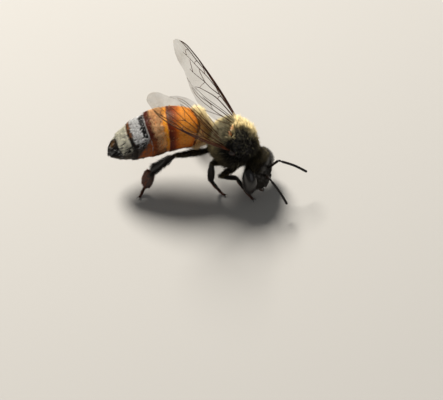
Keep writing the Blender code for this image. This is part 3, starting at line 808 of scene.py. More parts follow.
def abdomenTint(spot, root, normal, rng):
    distance, rightward, angle = abdomenFields(spot)
    wild = rng.uniform(size=len(distance))
    front = ease(1.4, 1.15, distance)
    golden = ease(1.2, 1.4, distance) * ease(3.9, 3.7, distance)
    golden = golden + 0.7 * front * ease(-0.3, 0.3, rightward)
    tan = ease(3.7, 3.9, distance) * ease(4.85, 4.55, distance - 0.5 * (wild > 0.88))
    maroon = ease(4.55, 4.75, distance) * ease(5.14, 5.13, distance)
    silver = ease(5.13, 5.14, distance) * ease(6.4, 6.3, distance)
    last = distance - 0.35 * ease(-0.1, -0.75, rightward)
    cream = ease(6.66, 6.76, distance) * ease(7.7, 7.6, last)
    tail = ease(7.6, 7.7, last)
    stripe = 1.0 - limit(front + golden + tan + maroon + silver + cream + tail)
    bronze = bump(distance, 8.02, 0.15) * bump(rightward, -0.08, 0.2)  # a bronze tuft over the last plate
    speck = (wild > 0.86) * 2.5 * (silver + 0.6 * cream)  # dark hairs among the pale felt
    under = ease(1.3, 1.6, angle) * ease(1.3, 1.6, distance)
    under = np.where(distance > 5.19, ease(0.85, 1.1, rightward - 0.1 * (distance - 5.5)), under)
    upper = ease(0.5, 0.2, rightward)
    glintHairs = tail * (wild > 0.93)  # painted highlights: a few grey hairs on the black tip
    darkHairs = speck + tail * (1.0 - 0.7 * bronze) * (1.0 - glintHairs)
    darkHairs = darkHairs + stripe * np.where(wild > 0.5, 1.0, 1.0 - upper)
    shares = {
        "#f8e6b4": front * (1.0 - 0.6 * np.minimum(golden, 1.0)),
        "#ffcf98": tan * (1.0 - ease(1.2, 1.8, angle)),
        "#5e200a": maroon + 2.5 * tan * (wild > 0.9),
        "#ffffff": silver * (1.0 - 0.8 * under) + 2.0 * glintHairs,
        "#fdf9e6": cream * (1.0 - 0.8 * under),
        "#a8793c": tail * bronze * 1.3,
        "#a8662c": stripe * upper * (wild < 0.5),
        "#15100c": darkHairs,
        "#4a3620": under * 2.0,
        "#f6be74": golden,
    }
    return toneMix(shares.keys(), list(shares.values()), rng)


feltPlan = {"seed": 21, "tufts": 7300, "hairs": 3, "width": 0.017, "spread": 0.03, "sink": 0.02,
            "clump": 0.4, "curl": 0.35, "fray": 0.07, "ruffle": 5.0, "stray": 14.0}
frontPlan = dict(feltPlan, seed=22, tufts=4200, curl=0.7, ruffle=9.0, stray=18.0)
middlePlan = dict(feltPlan, seed=23, tufts=5200, curl=0.6, ruffle=8.0, stray=16.0, width=0.0135)
for name, plan, low, high in (("Front", frontPlan, -1.0, 3.66), ("Middle", middlePlan, 3.66, 5.14),
                              ("Rear", feltPlan, 5.14, 9.0)):
    growCoat("abdomenCoat" + name, [abdomenSkin], plan, abdomenWeight(low, high), abdomenComb, abdomenTint)
print("abdomen done")


head = {
    "half": (0.84, 1.7, 1.62),  # half depth, width and height of the bare shell
    "grid": (144, 110),
    "eyeHalf": (0.62, 0.49, 1.2),
    "eyePlace": (0.02, 1.475, 0.25),
    "eyeLean": 14.0,
    "lensValley": 0.986,  # size of the eye between its lenses
    "eyeHollow": 0.06,  # how far the eye's ends lean back
    "ocelli": ((0.52, 0.0, 1.22), (0.3, 0.26, 1.43), (0.3, -0.26, 1.43)),
    "ocellusRadius": 0.11,
    "socket": (0.34, 0.1),  # of a feeler: to the side and up
}


def faceRelief(y, z):
    away = np.abs(y)
    shieldEdge = 0.4 + 0.28 * ease(-0.3, -1.1, z)
    shield = ease(shieldEdge + 0.05, shieldEdge - 0.05, away) * ease(-0.28, -0.4, z) * ease(-1.36, -1.28, z)
    lipPlate = ease(0.5, 0.4, away) * ease(-1.33, -1.4, z) * ease(-1.62, -1.56, z)
    ridge = bump(away, 0.0, 0.2) * bump(z, -0.05, 0.3)
    across, high = head["socket"]
    ring = np.hypot(away - across, z - high)
    furrow = bump(y, 0.0, 0.03) * ease(0.25, 0.45, z) * ease(1.3, 1.0, z)
    relief = 0.11 * shield * (1.0 - 0.3 * (away / 0.6) ** 2) + 0.06 * lipPlate + 0.07 * ridge
    relief += 0.045 * bump(ring, 0.19, 0.045) - 0.1 * bump(ring, 0.0, 0.11) - 0.035 * furrow
    return relief - 0.05 * bump(away, shieldEdge + 0.16, 0.09) * ease(-0.2, -0.5, z)


def headSurface(u, v):
    angle = angleAt(u)
    ring = np.sin(np.pi * v)
    x, y, z = ring * np.cos(angle), -np.cos(np.pi * v), ring * np.sin(angle)
    halfDepth, halfWidth, halfHeight = head["half"]
    bulge = np.where(x > 0.0, 1.0, 0.8 - 0.3 * (1.0 - z * z))
    acrossAt = y * halfWidth * (1.0 - 0.34 * np.maximum(-z, 0.0) ** 1.4)  # narrower towards the mouth
    upAt = z * halfHeight * (1.0 - 0.06 * bump(y, 0.0, 0.3) * (z > 0.0))
    relief = faceRelief(acrossAt, upAt) * ease(0.1, 0.35, x)
    points = np.stack([x * halfDepth * bulge + relief, acrossAt, upAt], axis=-1)
    return carry(headPlace, points), np.stack([u, v], axis=-1)


headSkin = gridPiece("headSkin", *head["grid"], headSurface, blackCuticle, "black_cuticle", ["head"])


def makeEyeMaterial():
    # a compound eye: deep brown-black lenses under a clear, wet-looking cornea
    material = newMaterial("corneaLenses", {
        "Roughness": 0.26, "IOR": 1.5, "Specular IOR Level": 0.4, "Coat Weight": 0.4, "Coat Roughness": 0.08,
    })
    tones = ramp(material, noise(material, 0.9, 2.0), ((0.3, "#080605"), (0.7, "#1c100a")))
    dress(material, {"Base Color": tones})
    return material


def makeEye(side, sign, material):
    # lenses 0.05 mm across, twice the real size so that they show: each old corner stands up as a lens
    bm = bmesh.new()
    layer = unwrapLayer(bm)
    raised = set(bmesh.ops.create_icosphere(bm, subdivisions=5, radius=1.0)["verts"])
    bmesh.ops.subdivide_edges(bm, edges=bm.edges, cuts=1, use_grid_fill=True)
    x, y, z = head["eyePlace"]
    place = headPlace @ Matrix.Translation((x, sign * y, z)) @ rotated(head["eyeLean"] * sign, "X")
    spotOf = {}
    for vert in bm.verts:
        ahead, out, up = vert.co.normalized()
        spotOf[vert] = (0.5 + math.atan2(ahead, sign * out) / (2.0 * math.pi), 0.5 + 0.5 * up)
        deep, wide, tall = head["eyeHalf"]
        bent = Vector((ahead * deep - head["eyeHollow"] * up ** 2, out * wide, up * tall))
        vert.co = place @ (bent * (1.0 if vert in raised else head["lensValley"]))
    mapFaces(bm.faces, layer, spotOf)
    return finishPiece("compoundEye_" + side, bm, [material], ["eye_" + side])


eyeMaterial = makeEyeMaterial()
eyes = [makeEye(side, sign, eyeMaterial) for side, sign in sides]

ocellusMaterial = newMaterial("ocellusLens", {
    "Base Color": "#3a2414", "Roughness": 0.08, "IOR": 1.5, "Coat Weight": 1.0, "Coat Roughness": 0.03,
})
bm = bmesh.new()
for spot in head["ocelli"]:
    place = headPlace @ Matrix.Translation(spot)
    bmesh.ops.create_uvsphere(bm, u_segments=16, v_segments=10, radius=head["ocellusRadius"], matrix=place)
for face in bm.faces:
    face.smooth = True
finishPiece("ocelli", bm, [ocellusMaterial])


def headWeight(spot, point, normal):
    x, y, z = carryBack(headPlace, point).T
    mouthward = 0.55 - 0.4 * ease(-0.5, -0.8, z) * (np.abs(y) < 0.55)
    face = ease(0.25, 0.5, x) * ease(0.8, 0.3, z) * mouthward
    cheek = ease(0.1, -0.2, x) * ease(1.2, 0.8, z) * 0.6
    underEye = 1.0 - 0.9 * ease(1.25, 1.4, np.abs(y)) * ease(-0.9, -0.6, z) * ease(1.3, 1.0, z)
    return (ease(0.7, 1.1, z) + face + cheek) * underEye


def headComb(spot, root, normal):
    x, y, z = carryBack(headPlace, root).T
    crown = ease(0.6, 1.1, z)
    length = 0.17 + 0.24 * crown + 0.1 * ease(0.1, -0.3, x)
    flow = np.stack([0.3 - 0.2 * crown, 0.35 * y, -1.0 + 1.6 * crown], axis=-1)
    return length, 34.0 + 28.0 * crown, turn(headPlace, flow)


def headTint(spot, root, normal, rng):
    # painted shade: the face hair is mostly near black, with paler hairs only on the crown
    crown = ease(0.6, 1.1, carryBack(headPlace, root)[:, 2])
    wild = rng.uniform(size=len(crown))
    weights = [1.0 - 0.5 * crown, crown * (wild < 0.4), (wild > 0.3) * 1.4]
    return toneMix(("#2e2618", "#7d7048", "#110d09"), weights, rng)


headPlan = {"seed": 31, "tufts": 7300, "hairs": 3, "width": 0.0105, "spread": 0.02, "sink": 0.012,
            "clump": 0.4, "curl": 0.7, "fray": 0.07, "ruffle": 8.0, "stray": 14.0}
growCoat("headCoat", [headSkin], headPlan, headWeight, headComb, headTint)


def eyeWeight(spot, point, normal):
    return np.ones(len(point))


def eyeComb(spot, root, normal):
    count = len(root)
    return np.full(count, 0.13), np.full(count, 72.0), turn(headPlace, np.tile((0.2, 0.0, -1.0), (count, 1)))


def eyeTint(spot, root, normal, rng):
    return toneMix(("#463c2c", "#1d1812"), [rng.uniform(size=len(root)), np.ones(len(root))], rng)


for number, (side, sign) in enumerate(sides):
    # short stiff hairs stand between the lenses of a honey bee's eye
    plan = dict(headPlan, seed=33 + number, tufts=2200, hairs=1, width=0.006, fray=0.03, spread=0.005,
                sink=0.01)
    growCoat("eyeHair_" + side, [eyes[number]], plan, eyeWeight, eyeComb, eyeTint)
print("head done")


feelers = {
    "socket": (0.72, 0.34, 0.1),
    "scapeLength": 1.35,
    "scapeSwing": {"left": (0.55, 0.25, 0.8), "right": (0.5, -0.6, 0.62)},
    "whipLength": 2.7,
    "whipSwing": {"left": (0.85, 0.2, -0.5), "right": (0.62, -0.2, -0.76)},
    "jointLength": 0.22,  # of the short joint between scape and whip
    "scapeWidth": 0.1,  # half
    "jointWidth": 0.088,
    "whipWidth": 0.105,
    "rings": 10,
    "bow": 0.05,  # rise of the scape's middle
    "sag": 0.16,  # rise of the whip's middle
}


def whipGirth(t):
    # ten rings, each a little wider to its end
    place = t * feelers["rings"]
    share = place - np.floor(place)
    nearest = np.minimum(share, 1.0 - share) * (place > 0.5)
    size = feelers["whipWidth"] * (0.94 + 0.07 * share) * (1.0 - 0.2 * bump(nearest, 0.0, 0.05))
    size = size * (0.8 + 0.2 * ease(0.0, 0.12, t)) * roundedEnds(t, 0.02, 0.05)
    return size, size


for side, sign in sides:
    bm = bmesh.new()
    x, y, z = feelers["socket"]
    socket = headPlace @ Vector((x, sign * y, z))
    elbow = socket + Vector(feelers["scapeSwing"][side]).normalized() * feelers["scapeLength"]
    swing = Vector(feelers["whipSwing"][side]).normalized()
    bead = elbow + swing * feelers["jointLength"]
    tip = elbow + swing * feelers["whipLength"]
    up = Vector(upright)
    scape = smoothPath([socket, (socket + elbow) / 2 + up * feelers["bow"], elbow])
    whip = smoothPath([bead - swing * 0.06, (bead + tip) / 2 + up * feelers["sag"], tip])
    joint = smoothPath([elbow - swing * 0.04, bead])
    scapeGirth = spindle(feelers["scapeWidth"], feelers["scapeWidth"], 0.1, 0.08, 0.85, 0.25)
    jointGirth = spindle(feelers["jointWidth"], feelers["jointWidth"], 0.3, 0.3, 0.8, 0.3)
    tube(bm, scape, scapeGirth, upright, 16, 30, (0.0, 0.0, 0.3, 1.0))
    tube(bm, joint, jointGirth, upright, 16, 14, (0.32, 0.0, 0.1, 1.0))
    tube(bm, whip, whipGirth, upright, 18, 170, (0.45, 0.0, 0.5, 1.0), even=True)
    finishPiece("antenna_" + side, bm, [blackCuticle],
                ["scape_" + side, "flagellum_" + side])

mouth = {
    "jaw": ((0.2, 0.56, -1.3), (0.36, 0.47, -1.62), (0.34, 0.1, -1.88)),  # root, bend and point
    "tongueRoot": (-0.42, 0.0, -1.05),
    "tongueTip": (-0.6, 0.0, -2.95),
    "tongueClearance": 0.52,  # lowest that its tip may hang above the floor
}
faceward, leftward = headPlace.to_3x3().col[0], headPlace.to_3x3().col[1]


def jawGirth(t):
    # a honey bee's jaw: stout at its root, waisted, then spread like a spoon
    return ((0.16 - 0.06 * bump(t, 0.5, 0.22)) * roundedEnds(t, 0.12, 0.16),
            (0.13 - 0.08 * t) * roundedEnds(t, 0.12, 0.2))


for side, sign in sides:
    bm = bmesh.new()
    jaw = [headPlace @ Vector((x, sign * y, z)) for x, y, z in mouth["jaw"]]
    tube(bm, smoothPath(jaw), jawGirth, faceward, 18, 24)
    finishPiece("jaw_" + side, bm, [jawCuticle], ["mandible_" + side])

bm = bmesh.new()
tongueRoot, tongueTip = headPlace @ Vector(mouth["tongueRoot"]), headPlace @ Vector(mouth["tongueTip"])
tongueTip.z = max(tongueTip.z, mouth["tongueClearance"])
tongueBlades = (
    # start and end of a blade, its place to the left, half width and thickness, taper, and place ahead
    (-0.15, 0.5, 0.0, 0.22, 0.16, 0.2, 0.0),
    (0.1, 0.9, 0.15, 0.11, 0.07, 0.6, 0.1), (0.25, 0.82, 0.225, 0.05, 0.05, 0.5, 0.02),
    (0.1, 0.9, -0.15, 0.11, 0.07, 0.6, 0.1), (0.25, 0.82, -0.225, 0.05, 0.05, 0.5, 0.02),
    (0.4, 1.0, 0.0, 0.07, 0.07, 0.35, 0.0),
)
for start, end, across, wide, thin, taper, ahead in tongueBlades:
    spots = [tongueRoot.lerp(tongueTip, share) + faceward * ahead + leftward * across * (1.0 - 0.5 * share)
             for share in (start, (start + end) / 2, end)]
    tube(bm, smoothPath(spots), spindle(wide, thin, 0.12, 0.25, 1.0, -taper), faceward, 14, 24)
finishPiece("tongue", bm, [brownCuticle], ["proboscis"])
print("feelers and mouth done")


wings = {
    "root": (-0.25, 1.35, 0.75),
    "axis": {"left": (-8.15, 1.6, 3.45), "right": (-8.26, 1.9, 3.0)},
    "roll": {"left": 10.0, "right": -16.0},
    "foreLength": 9.1,
    "foreChord": 2.85,
    "hindLength": 6.3,
    "hindChord": 1.35,
    "hindSet": 0.25,  # start of the hind wing out from the root of the fore wing
    "tipSet": 0.95,  # how far the leading edge swings forwards to the tip
    "tipHeart": 0.42,  # share of the fore wing's chord at which its rounded tip closes
    "tipStart": {"fore": 0.72, "hind": 0.6},  # where the tip starts to round, share of the length
    "gap": 0.06,  # between the fore and the hind wing
    "sheet": 0.014,  # thickness of the membrane
    "camber": 0.13,
    "veinSize": 1.15,
    "wear": {"left": 0.06, "right": 0.008},  # how deeply the outer edge is frayed, share of the chord
}


def wingPlace(side, sign):
    x, y, z = wings["axis"][side]
    axis = Vector((x, y * sign, z)).normalized()
    inward = Vector((0.0, -sign, 0.0))
    inward = (inward - axis * inward.dot(axis)).normalized()
    face = axis.cross(inward)
    if face.z < 0.0:
        face = -face
    roll = math.radians(wings["roll"][side])
    chord = inward * math.cos(roll) + face * math.sin(roll)
    x, y, z = wings["root"]
    axes = Matrix((axis, chord, axis.cross(chord))).transposed().to_4x4()
    return bodyPlace @ Matrix.Translation((x, y * sign, z)) @ axes


def leadingEdge(share):
    return -0.45 * np.sin(np.pi * limit(share) ** 0.9) - wings["tipSet"] * share


def foreChord(share):
    return wings["foreChord"] * (0.12 + 0.88 * np.sin(np.pi * 0.5 * limit(share / 0.66)) ** 1.4)


def tipRounding(kind, share):
    start = wings["tipStart"][kind]
    return np.sqrt(limit(1.0 - (limit(share - start) / (1.0 - start)) ** 2))


def wingPoint(kind, side, place, share, across, rise=0.0):
    # a point of the membrane: share runs from root to tip, across from the leading to the trailing edge
    if kind == "fore":
        x = share * wings["foreLength"]
        edge, chord = leadingEdge(share), foreChord(share)
        middle = edge + chord * wings["tipHeart"]
        reach = tipRounding(kind, share)
        frayed = patchNoise(share * 30.0, np.zeros_like(share), 3) * ease(0.6, 0.72, share) * 2.0
        rightShift = 1.0 - wings["wear"][side] * frayed * ease(0.7, 1.0, across)
        y = middle + (edge - middle) * reach + chord * reach * across * rightShift
    else:
        x = wings["hindSet"] + share * wings["hindLength"]
        ahead = x / wings["foreLength"]
        edge = leadingEdge(ahead) + foreChord(ahead) + wings["gap"]
        chord = wings["hindChord"] * (0.3 + 0.7 * np.sin(np.pi * limit(share) ** 0.75))
        y = edge + chord * tipRounding(kind, share) * across
    # a shallow arch, fluted between the veins and a little crumpled towards the outer edge
    z = wings["camber"] * (np.sin(np.pi * limit(across)) - 0.5) * np.sin(np.pi * limit(share * 0.9 + 0.1))
    z = z + 0.022 * np.sin(across * 19.0 + share * 6.0) * ease(0.0, 0.3, share)
    z = z + 0.02 * np.sin(share * 31.0 + across * 9.0) * ease(0.55, 0.9, share) + rise
    return carry(place, np.stack([x, y, z], axis=-1))


# the veins, each a run of (share of the length, share across) with its half width at root and tip
foreVeins = (
    (((0.0, 0.03), (0.1, 0.03), (0.3, 0.018), (0.5, 0.012), (0.62, 0.012), (0.8, 0.015), (0.93, 0.03)),
     0.06, 0.032),
    (((0.0, 0.2), (0.12, 0.17), (0.3, 0.115), (0.46, 0.085), (0.6, 0.035)), 0.06, 0.045),
    (((0.56, 0.06), (0.61, 0.035), (0.67, 0.03)), 0.055, 0.03),
    (((0.585, 0.06), (0.63, 0.13), (0.72, 0.165), (0.82, 0.155), (0.9, 0.1), (0.945, 0.04)), 0.032, 0.022),
    (((0.0, 0.36), (0.12, 0.36), (0.24, 0.33), (0.335, 0.33)), 0.055, 0.035),
    (((0.335, 0.33), (0.365, 0.245), (0.4, 0.17), (0.44, 0.09)), 0.032, 0.03),
    (((0.4, 0.175), (0.45, 0.215), (0.51, 0.235), (0.565, 0.265)), 0.026, 0.024),
    (((0.565, 0.265), (0.64, 0.31), (0.71, 0.345), (0.79, 0.385), (0.87, 0.45)), 0.026, 0.012),
    (((0.6, 0.09), (0.585, 0.17), (0.565, 0.265)), 0.024, 0.022),
    (((0.685, 0.155), (0.71, 0.24), (0.705, 0.345)), 0.022, 0.02),
    (((0.82, 0.155), (0.85, 0.25), (0.835, 0.33), (0.82, 0.405)), 0.02, 0.018),
    (((0.335, 0.33), (0.4, 0.42), (0.46, 0.485), (0.53, 0.52)), 0.03, 0.026),
    (((0.53, 0.52), (0.58, 0.45), (0.625, 0.375), (0.64, 0.31)), 0.024, 0.02),
    (((0.53, 0.52), (0.6, 0.585), (0.67, 0.645), (0.73, 0.68)), 0.024, 0.014),
    (((0.69, 0.655), (0.74, 0.54), (0.765, 0.46), (0.77, 0.375)), 0.02, 0.018),
    (((0.32, 0.345), (0.335, 0.46), (0.335, 0.62)), 0.026, 0.024),
    (((0.0, 0.62), (0.1, 0.66), (0.22, 0.64), (0.335, 0.63), (0.45, 0.72), (0.55, 0.86), (0.6, 0.97)),
     0.045, 0.016),
    (((0.53, 0.52), (0.545, 0.66), (0.555, 0.86)), 0.02, 0.014),
    (((0.03, 0.9), (0.2, 0.93), (0.4, 0.975), (0.6, 0.985)), 0.022, 0.014),
)
hindVeins = (
    (((0.0, 0.1), (0.2, 0.06), (0.45, 0.03), (0.66, 0.02)), 0.04, 0.02),
    (((0.47, 0.05), (0.6, 0.22), (0.72, 0.34), (0.86, 0.42)), 0.022, 0.012),
    (((0.0, 0.4), (0.15, 0.42), (0.3, 0.44), (0.44, 0.46)), 0.035, 0.024),
    (((0.52, 0.12), (0.5, 0.28), (0.44, 0.46)), 0.02, 0.018),
    (((0.44, 0.46), (0.6, 0.56), (0.75, 0.64), (0.88, 0.68)), 0.022, 0.012),
    (((0.27, 0.44), (0.36, 0.6), (0.47, 0.76), (0.55, 0.95)), 0.022, 0.014),
    (((0.0, 0.75), (0.12, 0.8), (0.25, 0.88), (0.34, 0.96)), 0.03, 0.016),
)


def makeMembrane():
    # wing membrane: clear, thin chitin with a smoky brown cast, silken gloss and a thin film's faint colours
    material = newMaterial("wingMembrane", {
        "Roughness": 0.32, "IOR": 1.4, "Specular IOR Level": 0.22,
        "Thin Film Thickness": 380.0, "Thin Film IOR": 1.35,
    })
    along = unwrapParts(material)[0]
    smoke = noise(material, 1.4, 3.0)
    tones = ramp(material, smoke, ((0.3, "#5c4618"), (0.7, "#7c602a")))
    clear = remap(material, smoke, 0.3, 0.7, 0.07, 0.13)
    # the tiny hairs that cover the membrane are drawn 0.06 mm apart so that they show
    dress(material, {
        "Base Color": blend(material, remap(material, along, 0.0, 0.3, 0.6, 0.0), tones, "#7a4a1c"),
        "Normal": pitted(material, 0.06, 0.3, 0.000006),
        "Alpha": calc(material, "MULTIPLY", clear, remap(material, along, 0.45, 0.85, 1.0, 1.8)),
    })
    return material


def makeVein():
    # a wing vein: a hollow rib of amber-brown chitin, smooth and satin, in darker and lighter stretches
    material = newMaterial("wingVein", {"Roughness": 0.42, "IOR": 1.56, "Specular IOR Level": 0.25})
    tones = ramp(material, noise(material, 0.8, 3.0), ((0.3, "#2c1206"), (0.7, "#5c2c0e")))
    dress(material, {"Base Color": tones})
    return material


def makeWing(kind, side, sign, table, columns, rows):
    place = wingPlace(side, sign)
    normal = turn(place, (0.0, 0.0, 1.0))[0]

    def sheet(u, v):
        # over the top face and back under the lower one
        share = np.sin(np.pi / 2.0 * v)
        across = 0.5 - 0.5 * np.cos(2.0 * np.pi * u)
        roundAt = np.sin(2.0 * np.pi * u)
        rise = np.sign(roundAt) * np.minimum(np.abs(roundAt) * 4.0, 1.0) * wings["sheet"] / 2.0
        rise = rise * limit(share * 40.0) * limit((1.0 - v) * 30.0)
        return wingPoint(kind, side, place, share, across, rise), np.stack([share, across], axis=-1)

    gridPiece(kind + "wingMembrane_" + side, columns, rows, sheet, membrane, "wing_membrane",
              [kind + "wing_" + side])
    bm = bmesh.new()
    for spots, rootWide, tipWide in table:
        path = smoothPath(spots)

        def line(t):
            spot = path(t)
            return wingPoint(kind, side, place, spot[:, 0], spot[:, 1])

        def girth(t):
            wide = wings["veinSize"] * (rootWide + (tipWide - rootWide) * t)
            wide = wide * (0.3 + 0.7 * roundedEnds(t, 0.02, 0.04))
            wide = wide * ((t > 1e-6) & (t < 1.0 - 1e-6))  # closed at both ends
            return wide, wide * 0.9

        tube(bm, line, girth, normal, 8, 8 * len(spots))
    finishPiece(kind + "wingVeins_" + side, bm, [vein])


membrane = makeMembrane()
vein = makeVein()
for side, sign in sides:
    makeWing("fore", side, sign, foreVeins, 72, 110)
    makeWing("hind", side, sign, hindVeins, 48, 80)
print("wings done")


# hip, knee, ankle and heel from the middle of the thorax, level with the floor, and the foot's reach
legPoints = {
    "fore_right": ((0.6, -0.8, -1.75), (-0.4, -2.45, -1.45), (0.7, -1.4, -2.65), (1.4, -1.65, -3.45),
                   (1.0, -0.35, 0.0)),
    "fore_left": ((0.6, 0.8, -1.75), (0.9, 2.5, -1.6), (1.5, 2.35, -3.3), (1.9, 2.4, -4.05),
                  (0.5, 0.35, 0.0)),
    "mid_right": ((-0.85, -0.95, -1.6), (-1.2, -2.2, -0.4), (-1.15, -2.35, -2.55), (-0.7, -2.0, -3.85),
                  (0.8, -0.25, 0.0)),
    "mid_left": ((-0.85, 0.95, -1.6), (-0.7, 2.9, -0.8), (-0.8, 3.6, -2.8), (-0.7, 4.0, -4.0),
                 (0.15, 1.15, 0.0)),
    "hind_right": ((-1.85, -0.75, -0.85), (-4.1, -2.6, 0.0), (-5.95, -3.0, -2.4), (-6.25, -3.65, -3.8),
                   (-0.2, -0.9, 0.0)),
    "hind_left": ((-1.8, 1.0, -1.1), (-3.8, 2.5, -0.9), (-5.0, 3.0, -3.3), (-5.7, 3.7, -4.05),
                  (-0.9, 0.3, 0.0)),
}
# half width and half thickness at stations along each joint
limbGirth = {
    "coxa": ((0.0, 0.3, 0.3), (0.5, 0.32, 0.3), (1.0, 0.2, 0.2)),
    "trochanter": ((0.0, 0.17, 0.16), (1.0, 0.16, 0.15)),
    "fore femur": ((0.0, 0.14, 0.13), (0.35, 0.25, 0.2), (0.8, 0.17, 0.15), (1.0, 0.14, 0.13)),
    "fore tibia": ((0.0, 0.12, 0.12), (0.5, 0.19, 0.15), (1.0, 0.16, 0.14)),
    "fore basitarsus": ((0.0, 0.11, 0.1), (0.5, 0.14, 0.1), (1.0, 0.11, 0.09)),
    "mid femur": ((0.0, 0.14, 0.13), (0.35, 0.25, 0.2), (0.8, 0.18, 0.15), (1.0, 0.14, 0.13)),
    "mid tibia": ((0.0, 0.12, 0.12), (0.55, 0.25, 0.17), (1.0, 0.2, 0.15)),
    "mid basitarsus": ((0.0, 0.14, 0.11), (0.45, 0.24, 0.12), (1.0, 0.15, 0.1)),
    "hind femur": ((0.0, 0.14, 0.13), (0.4, 0.27, 0.2), (0.8, 0.2, 0.16), (1.0, 0.15, 0.14)),
    "hind tibia": ((0.0, 0.13, 0.13), (0.25, 0.24, 0.15), (0.7, 0.4, 0.16), (0.95, 0.47, 0.15),
                   (1.0, 0.46, 0.14)),
    "hind basitarsus": ((0.0, 0.4, 0.12), (0.35, 0.52, 0.12), (0.75, 0.46, 0.11), (1.0, 0.3, 0.1)),
}
bluntHind = {"tibia": 0.07, "basitarsus": 0.16}  # share of a hind joint over which its end rounds off
foot = {
    "bead": 0.105,  # half width of the small joints, and height of their middle above the floor
    "stations": (0.0, 0.2, 0.38, 0.56, 0.86),  # ends of the small joints, share of its reach
    "lastJoint": ((0.0, 0.05, 0.05), (0.7, 0.085, 0.08), (1.0, 0.08, 0.075)),
    "clawHeight": 0.02,
}
jointNames = ("coxa", "femur", "tibia", "basitarsus", "tarsus")
legNames = tuple(legPoints)
# each leg has an upright strip of the unwrap, and each joint a fifth of the strip
legStrip = 1.0 / len(legNames)
legSpan = legStrip * 0.94
jointSpan = 0.19
legDirections = np.zeros((len(legNames), len(jointNames), 3))


def legShell(bm, start, end, table, cell, first, last, carve=None, materialIndex=0, columns=20, rows=30):
    def girth(t):
        size = roundedEnds(t, first, last)
        return smoothRead(table, t, 1) * size, smoothRead(table, t, 2) * size

    tube(bm, smoothPath([start, end]), girth, upright, columns, rows, cell, carve, materialIndex)


def pollenBasket(t, angle, y, z):
    # the hind tibia's outer face is smooth and a little hollow
    return y, z * (1.0 - 0.75 * ease(0.35, 0.6, t) * np.maximum(np.cos(angle), 0.0))


def makeFoot(bm, heel, reach, left):
    # four small joints, then the claws and the pad between them, resting on the floor
    bead = foot["bead"]
    start = Vector((heel.x, heel.y, max(heel.z - 0.02, bead)))
    drop = min(0.3 + 0.8 * (start.z - bead), 0.86)  # share of the foot over which it comes down to the floor
    spots = [start + reach * share for share in foot["stations"]]
    for spot, share in zip(spots, foot["stations"]):
        spot.z = start.z + (bead - start.z) * min(share / drop, 1.0)
    beadJoint = ((0.0, 0.055, 0.055), (0.8, bead * 1.1, bead * 0.85), (1.0, bead, bead * 0.8))
    for index, table in enumerate((beadJoint, beadJoint, beadJoint, foot["lastJoint"])):
        first, second = spots[index], spots[index + 1]
        lap = (second - first).normalized() * 0.04
        cell = (left, 0.8 + index * 0.045, legSpan, 0.04)
        legShell(bm, first - lap, second + lap, table, cell, 0.2, 0.2, None, 1, 14, 16)
    toe = spots[-1]
    forward, up = reach.normalized(), Vector(upright)
    sideways = up.cross(forward)
    for sign in (1.0, -1.0):
        middle = toe + forward * 0.12 + sideways * 0.1 * sign + up * 0.035
        point = toe + forward * 0.24 + sideways * 0.15 * sign - up * (toe.z - foot["clawHeight"])
        claw = smoothPath([toe + sideways * 0.03 * sign, middle, point])
        girth = spindle(0.034, 0.034, 0.1, 0.1, 1.0, -0.75)
        tube(bm, claw, girth, upright, 10, 16, (left, 0.985, 0.01, 0.004))
    pad = smoothPath([toe, toe + forward * 0.1 - up * 0.03])
    tube(bm, pad, spindle(0.06, 0.035, 0.4, 0.5), upright, 12, 12, (left, 0.98, 0.01, 0.004), None, 1)


def makeLeg(number, leg):
    kind = leg.split("_")[0]
    *joints, reach = (Vector(point) for point in legPoints[leg])
    coxaAxis = Vector((joints[0].x * 0.3, joints[0].y, joints[0].z * 0.8)).normalized()
    hip, knee, ankle, heel = (levelPlace @ joint for joint in joints)
    left = number * legStrip
    bm = bmesh.new()
    ends = [(hip - coxaAxis * 0.75, hip), (hip, knee), (knee, ankle), (ankle, heel)]
    for index, (start, end) in enumerate(ends):
        joint = jointNames[index]
        along = (end - start).normalized()
        legDirections[number, index] = along
        table = limbGirth["coxa" if joint == "coxa" else kind + " " + joint]
        brown = int((kind, joint) == ("hind", "basitarsus"))
        carve = pollenBasket if (kind, joint) == ("hind", "tibia") else None
        blunt = bluntHind.get(joint, 0.1) if kind == "hind" else 0.1
        cell = (left, index * 0.2, legSpan, jointSpan)
        legShell(bm, start - along * 0.05, end + along * 0.025, table, cell, 0.18 if brown else 0.08, blunt,
                 carve, brown)
    along = (knee - hip).normalized()
    legShell(bm, hip - along * 0.12, hip + along * 0.2, limbGirth["trochanter"], (left, 0.99, 0.01, 0.005),
             0.4, 0.4, rows=10)
    legDirections[number, 4] = reach.normalized()
    makeFoot(bm, heel, reach, left)
    return finishPiece("leg_" + leg, bm, [legCuticle, brownCuticle],
                       [joint + "_" + leg for joint in jointNames])


legSkins = [makeLeg(number, leg) for number, leg in enumerate(legNames)]


def legFields(spot):
    number = np.clip((spot[:, 0] / legStrip).astype(int), 0, len(legNames) - 1)
    joint = np.clip((spot[:, 1] / 0.2).astype(int), 0, 4)
    angle = angleAt(limit((spot[:, 0] - number * legStrip) / legSpan))
    t = limit((spot[:, 1] - joint * 0.2) / jointSpan)
    hind = np.array([name.startswith("hind") for name in legNames])[number]
    return number, joint, t, angle, hind, np.abs(np.sin(angle)) ** 3


def legWeight(spot, point, normal):
    number, joint, t, angle, hind, edge = legFields(spot)
    basket = hind & (joint == 2) & (t > 0.3)
    inBasket = np.where(np.cos(angle) > 0.0, 0.12 + 2.4 * edge, 0.5 + 1.2 * edge)
    weight = np.where(basket, inBasket, np.array((0.5, 0.6, 0.6, 0.9, 0.9))[joint] * (0.6 + 0.9 * edge))
    return np.where(spot[:, 1] > 0.978, 0.0, weight)


